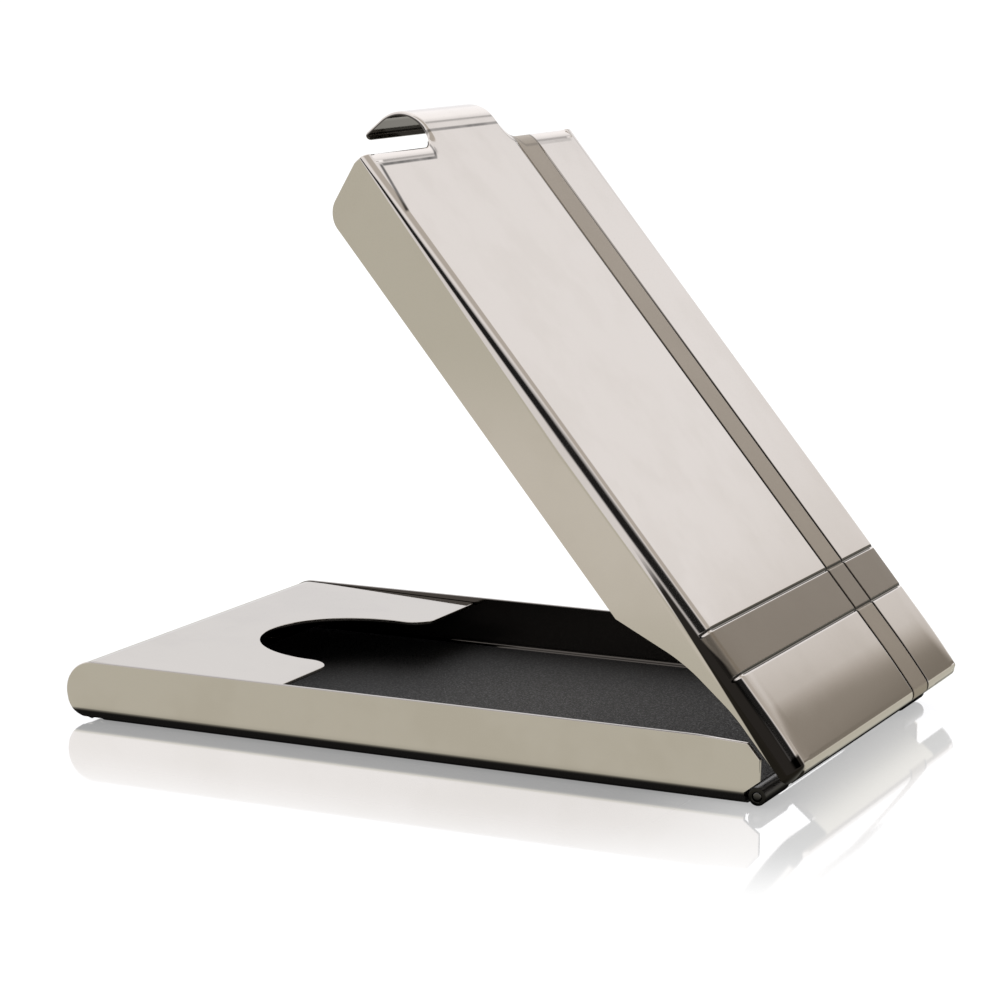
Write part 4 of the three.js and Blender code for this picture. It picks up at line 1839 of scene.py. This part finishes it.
@dataclass(frozen=True)
class Room:
    """What bright metal mirrors: a white tent with a dark opening in front and a grey edge behind.

    Spans are in degrees: turn is counted from +Y towards +X, and rise from level to straight up.
    """

    opening: Span = (76.0, 100.0)
    opening_top: Span = (43.0, 51.0)
    behind: Span = (132.0, 162.0)
    behind_top: Span = (32.0, 46.0)
    opening_foot: Span = (20.0, 28.0)
    foot_share: float = 0.12
    opening_depth: float = 0.985
    slant_at: Span = (16.0, 17.0)
    slant: Span = (0.3, 0.2)
    shade: Span = (0.2, 1.3)
    shade_depth: float = 0.48
    fringe: Span = (-0.5, 0.3)
    fringe_depth: float = 0.1
    foot: Span = (12.2, 14.4)
    foot_depth: float = 0.08
    shade_top: Span = (17.5, 20.0)
    veil_top: Span = (16.0, 20.0)
    veil_depth: float = 0.1
    shade_end: Span = (24.0, 32.0)
    beside: Span = (18.0, 23.0)
    beside_foot: Span = (16.0, 20.0)
    beside_depth: float = 0.42
    right: Span = (5.0, 10.0)
    right_end: Span = (60.0, 90.0)
    seam: Span = (2.0, 5.0)
    seam_end: Span = (5.0, 9.0)
    seam_foot: Span = (15.0, 24.0)
    seam_top: Span = (32.0, 45.0)
    seam_depth: float = 0.5
    left: Span = (4.0, -6.0)
    left_end: Span = (-60.0, -30.0)
    left_foot: Span = (12.0, 20.0)
    left_gain: float = 0.2
    shares: Point = (1.0, 0.995, 1.02)
    losses: Point = (0.0, -0.12, -0.32)

    def tone(self, sheet: NodeSheet) -> Socket:
        """Lays out the room's colour.

        Args:
            sheet: The world's sheet.

        Returns:
            The colour in each direction.
        """
        x, y, z = sheet.split(sheet.fed("ShaderNodeTexCoord", {}, "Generated"))
        turn = sheet.maths("DEGREES", sheet.maths("ARCTAN2", x, y))
        rise = sheet.maths("DEGREES", sheet.maths("ARCSINE", z))
        right = sheet.times(sheet.ramp(turn, self.right), sheet.fall(turn, self.right_end))
        warmth = sheet.times(right, self._shade(sheet, turn, rise))
        opening = sheet.times(self._opening(sheet, turn, rise), self.opening_depth)
        seam = sheet.times(
            sheet.ramp(turn, self.seam),
            sheet.fall(turn, self.seam_end),
            sheet.ramp(rise, self.seam_foot),
            sheet.fall(rise, self.seam_top),
            self.seam_depth,
        )
        left = sheet.times(
            sheet.ramp(turn, self.left), sheet.ramp(turn, self.left_end), sheet.ramp(rise, self.left_foot)
        )
        level = sheet.scaled(left, self.left_gain, 1.0)
        for loss in (opening, warmth, seam):
            level = sheet.times(level, sheet.minus(1.0, loss))
        tints = [sheet.scaled(warmth, loss, share) for share, loss in zip(self.shares, self.losses)]
        parts = {i: sheet.times(level, tint) for i, tint in enumerate(tints)}
        return sheet.fed("ShaderNodeCombineColor", parts)

    def _opening(self, sheet: NodeSheet, turn: Socket, rise: Socket) -> Socket:
        """Lays out the dark opening, in front and behind.

        Args:
            sheet: The world's sheet.
            turn: How far round a direction points.
            rise: How far up it points.

        Returns:
            How dark it is there.
        """
        front = sheet.times(sheet.ramp(turn, self.opening), sheet.fall(rise, self.opening_top))
        back = sheet.times(sheet.ramp(sheet.size(turn), self.behind), sheet.fall(rise, self.behind_top))
        return sheet.times(sheet.most(front, back), sheet.ramp(rise, self.opening_foot, self.foot_share, 1.0))

    def _shade(self, sheet: NodeSheet, turn: Socket, rise: Socket) -> Socket:
        """Lays out the warm grey shade low on the tent, with its slanted edge.

        Args:
            sheet: The world's sheet.
            turn: How far round a direction points.
            rise: How far up it points.

        Returns:
            How dark it is there.
        """
        lower = sheet.times(sheet.minus(self.slant_at[1], rise), self.slant[1])
        low = sheet.scaled(sheet.minus(turn, self.slant_at[0]), self.slant[0], lower)
        fringe = sheet.ramp(low, self.fringe, 0.0, self.fringe_depth)
        shade = sheet.scaled(sheet.ramp(low, self.shade), self.shade_depth, fringe)
        shade = sheet.plus(shade, sheet.ramp(rise, self.foot, self.foot_depth, 0.0))
        shade = sheet.times(shade, sheet.fall(rise, self.shade_top))
        shade = sheet.plus(shade, sheet.ramp(rise, self.veil_top, self.veil_depth, 0.0))
        shade = sheet.times(shade, sheet.fall(turn, self.shade_end))
        beside = sheet.times(sheet.ramp(turn, self.beside), sheet.ramp(rise, self.beside_foot))
        return sheet.most(shade, sheet.times(beside, self.beside_depth))


@dataclass
class Studio:
    """The floor, the light and the camera, in metres and degrees."""

    camera_at: Point = (0.1786, -0.3657, 0.1022)
    azimuth: float = 26.03
    elevation: float = 10.22
    lens: float = 111.08
    film: float = 36.0
    nearest: float = 0.01
    farthest: float = 100.0
    floor_radius: float = 8.0
    floor_drop: float = 0.0001
    softbox_at: Point = (-0.35, 0.25, 0.9)
    softbox_size: float = 0.7
    softbox_power: float = 1.6
    ambient: float = 0.55
    floor_grey: Colour = (0.45, 0.45, 0.45, 1.0)
    floor_glow: float = 0.84
    mirror: float = 0.66
    mirror_haze: float = 0.06
    footprint: Span = (0.0495, 0.030)
    mirror_reach: Span = (0.010, 0.047)
    mirror_back: Span = (0.03, 0.055)
    back_share: float = 0.65
    # Painted contact shadow and a paler painted band on the floor, as metal and glass see it.
    contact: Span = (0.001, 0.008)
    painted_shadow_tone: Colour = (0.01, 0.01, 0.01, 1.0)
    paler_from: Span = (0.06, 0.12)
    paler_to: Span = (0.2, 0.4)
    floor_tone: Colour = (0.60, 0.59, 0.515, 1.0)
    painted_light_tone: Colour = (0.70, 0.68, 0.62, 1.0)

    def place_camera(self) -> None:
        """Sets the camera up at the viewing angle."""
        turn, rise = math.radians(self.azimuth), math.radians(self.elevation)
        back = Vector((math.sin(turn) * math.cos(rise), -math.cos(turn) * math.cos(rise), math.sin(rise)))
        bpy.ops.object.select_all(action="DESELECT")
        bpy.ops.object.camera_add(location=self.camera_at)
        camera = bpy.context.object
        camera.rotation_euler = (-back).to_track_quat("-Z", "Y").to_euler()
        camera.data.lens = self.lens
        camera.data.sensor_width = self.film
        camera.data.clip_start = self.nearest
        camera.data.clip_end = self.farthest
        bpy.context.scene.camera = camera

    def lay_floor(self) -> None:
        """Lays the pale glossy floor."""
        bpy.ops.object.select_all(action="DESELECT")
        at, reach = (0, 0, -self.floor_drop), self.floor_radius
        bpy.ops.mesh.primitive_circle_add(vertices=96, radius=reach, fill_type="NGON", location=at)
        floor = bpy.context.object
        floor.name = "floor"
        bpy.ops.object.transform_apply(location=True)
        material = bpy.data.materials.new("pale_floor")
        material.use_nodes = True
        sheet = NodeSheet(material.node_tree)
        sheet.put(sheet.add("ShaderNodeOutputMaterial").inputs["Surface"], self._floor_look(sheet))
        dress(floor, material)

    def _floor_look(self, sheet: NodeSheet) -> Socket:
        """Lays out how the floor looks, and how bright metal and glass see it.

        Args:
            sheet: The floor's sheet.

        Returns:
            The floor's shader.
        """
        x, y, _ = sheet.split(sheet.fed("ShaderNodeTexCoord", {}, "Object"))
        sides = zip((x, y), self.footprint)
        beyond = [sheet.most(sheet.minus(sheet.size(place), half), 0.0) for place, half in sides]
        away = sheet.distance(beyond[1], beyond[0])
        lit = sheet.fed("ShaderNodeBsdfDiffuse", {"Color": self.floor_grey})
        glow = sheet.fed("ShaderNodeEmission", {"Strength": self.floor_glow})
        both = sheet.fed("ShaderNodeAddShader", {0: lit, 1: glow})
        mirror = sheet.fed("ShaderNodeBsdfGlossy", {"Color": rgb(1, 1, 1), "Roughness": self.mirror_haze})
        fading = sheet.ramp(away, self.mirror_reach, self.mirror, 0.0)
        fading = sheet.times(fading, sheet.ramp(x, self.mirror_back, 1.0, self.back_share))
        # Painted light and shadow: metal and glass see the floor as a glow, with a painted shadow next to the
        # case and a paler painted band further out.
        lit_band = sheet.times(sheet.ramp(away, self.paler_from), sheet.fall(away, self.paler_to))
        tone = sheet.blend(lit_band, self.floor_tone, self.painted_light_tone)
        tone = sheet.blend(sheet.ramp(away, self.contact), self.painted_shadow_tone, tone)
        rays = sheet.add("ShaderNodeLightPath").outputs
        through = sheet.most(rays["Is Glossy Ray"], rays["Is Transmission Ray"])
        mirrored = sheet.fed("ShaderNodeEmission", {"Color": tone})
        return sheet.mix(through, sheet.mix(fading, both, mirror), mirrored)

    def light(self) -> None:
        """Hangs the softbox and sets the room's light."""
        bpy.ops.object.select_all(action="DESELECT")
        bpy.ops.object.light_add(type="AREA", location=self.softbox_at)
        softbox = bpy.context.object
        softbox.data.shape = "DISK"
        softbox.data.size = self.softbox_size
        softbox.data.energy = self.softbox_power
        softbox.rotation_euler = Vector(self.softbox_at).to_track_quat("Z", "Y").to_euler()
        softbox.visible_glossy = False
        world = bpy.data.worlds.new("studio_room")
        bpy.context.scene.world = world
        world.use_nodes = True
        sheet = NodeSheet(world.node_tree)
        rays = sheet.add("ShaderNodeLightPath").outputs
        plain = sheet.fed("ShaderNodeBackground", {"Color": rgb(1, 1, 1), "Strength": self.ambient})
        white = sheet.fed("ShaderNodeBackground", {"Color": rgb(1, 1, 1)})
        room = sheet.fed("ShaderNodeBackground", {"Color": Room().tone(sheet)})
        seen = sheet.mix(sheet.most(rays["Is Camera Ray"], rays["Is Transmission Ray"]), plain, white)
        seen = sheet.mix(rays["Is Glossy Ray"], seen, room)
        sheet.put(sheet.add("ShaderNodeOutputWorld").inputs["Surface"], seen)


# ---------------------------------------------------------------- assembly


@dataclass(frozen=True)
class Fitting:
    """Where a finished piece belongs: its body, the solid that it stands for and its finish."""

    piece: bpy.types.Object
    body: str
    node: str
    slot: str


def fit(fitting: Fitting, material: bpy.types.Material) -> None:
    """Dresses a piece, hangs it on its body and logs it.

    Args:
        fitting: The piece and where it belongs.
        material: What it is dressed in.
    """
    dress(fitting.piece, material)
    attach(fitting.piece, fitting.body)
    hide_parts(fitting.node)
    LOG.info("%s rides on %s in %s", fitting.piece.name, fitting.body, material.name)


def main() -> None:
    """Builds the case, piece by piece, and the studio round it."""
    logging.basicConfig(level=logging.INFO, format="%(name)s: %(message)s")
    bpy.context.scene.view_settings.view_transform = "Standard"
    studio = Studio()
    studio.place_camera()
    studio.lay_floor()
    studio.light()
    clip, hinge, lid = RetainingClip(), Hinge(), Lid()
    case_finish = CaseNickel("polished_case", rgb(0.72, 0.67, 0.62), rgb(0.69, 0.64, 0.585)).make()
    plate, film = rgb(0.53, 0.497, 0.452), rgb(0.507, 0.474, 0.434)
    clip_finish = ClipNickel("mirror_clip", plate, film, haze=0.05, marks=0.02).make()
    plate, film = rgb(0.72, 0.67, 0.62), rgb(0.70, 0.65, 0.598)
    satin, pale = rgb(0.345, 0.295, 0.235), rgb(0.445, 0.39, 0.32)
    lid_finish = BandedNickel("polished_lid", plate, film, satin, pale, lid).make()
    hinge_finish = DarkSteel("dark_hinge", rgb(0.035, 0.033, 0.03), rgb(0.12, 0.11, 0.10)).make()
    pin_finish = DarkSteel("hinge_pin", rgb(0.10, 0.095, 0.09), rgb(0.30, 0.28, 0.26), 0.22).make()
    pad_finish = CoatedPad("dark_liner", rgb(0.022, 0.0195, 0.017), rgb(0.21, 0.193, 0.17)).make()
    fit(Fitting(Tray().build_shell(), "base", "base_tray", "polished_case"), case_finish)
    fit(Fitting(TrayPad().build(), "base", "tray_liner", "dark_liner"), pad_finish)
    fit(Fitting(clip.build_plate(), "clip", "clip_plate", "mirror_clip"), clip_finish)
    fit(Fitting(clip.build_foot(), "base", "clip_anchor", "mirror_clip"), clip_finish)
    fit(Fitting(hinge.build_base_leaf(), "base", "base_hinge_leaf", "dark_hinge"), hinge_finish)
    fit(Fitting(hinge.build_pin(), "base", "hinge_pin", "hinge_pin"), pin_finish)
    fit(Fitting(lid.build_shell(), "lid", "lid_shell", "polished_lid"), lid_finish)
    fit(Fitting(LidPad().build(), "lid", "lid_liner", "dark_liner"), pad_finish)
    fit(Fitting(hinge.build_lid_leaf(), "lid", "lid_hinge_leaf", "dark_hinge"), hinge_finish)


if __name__ == "__main__":
    main()
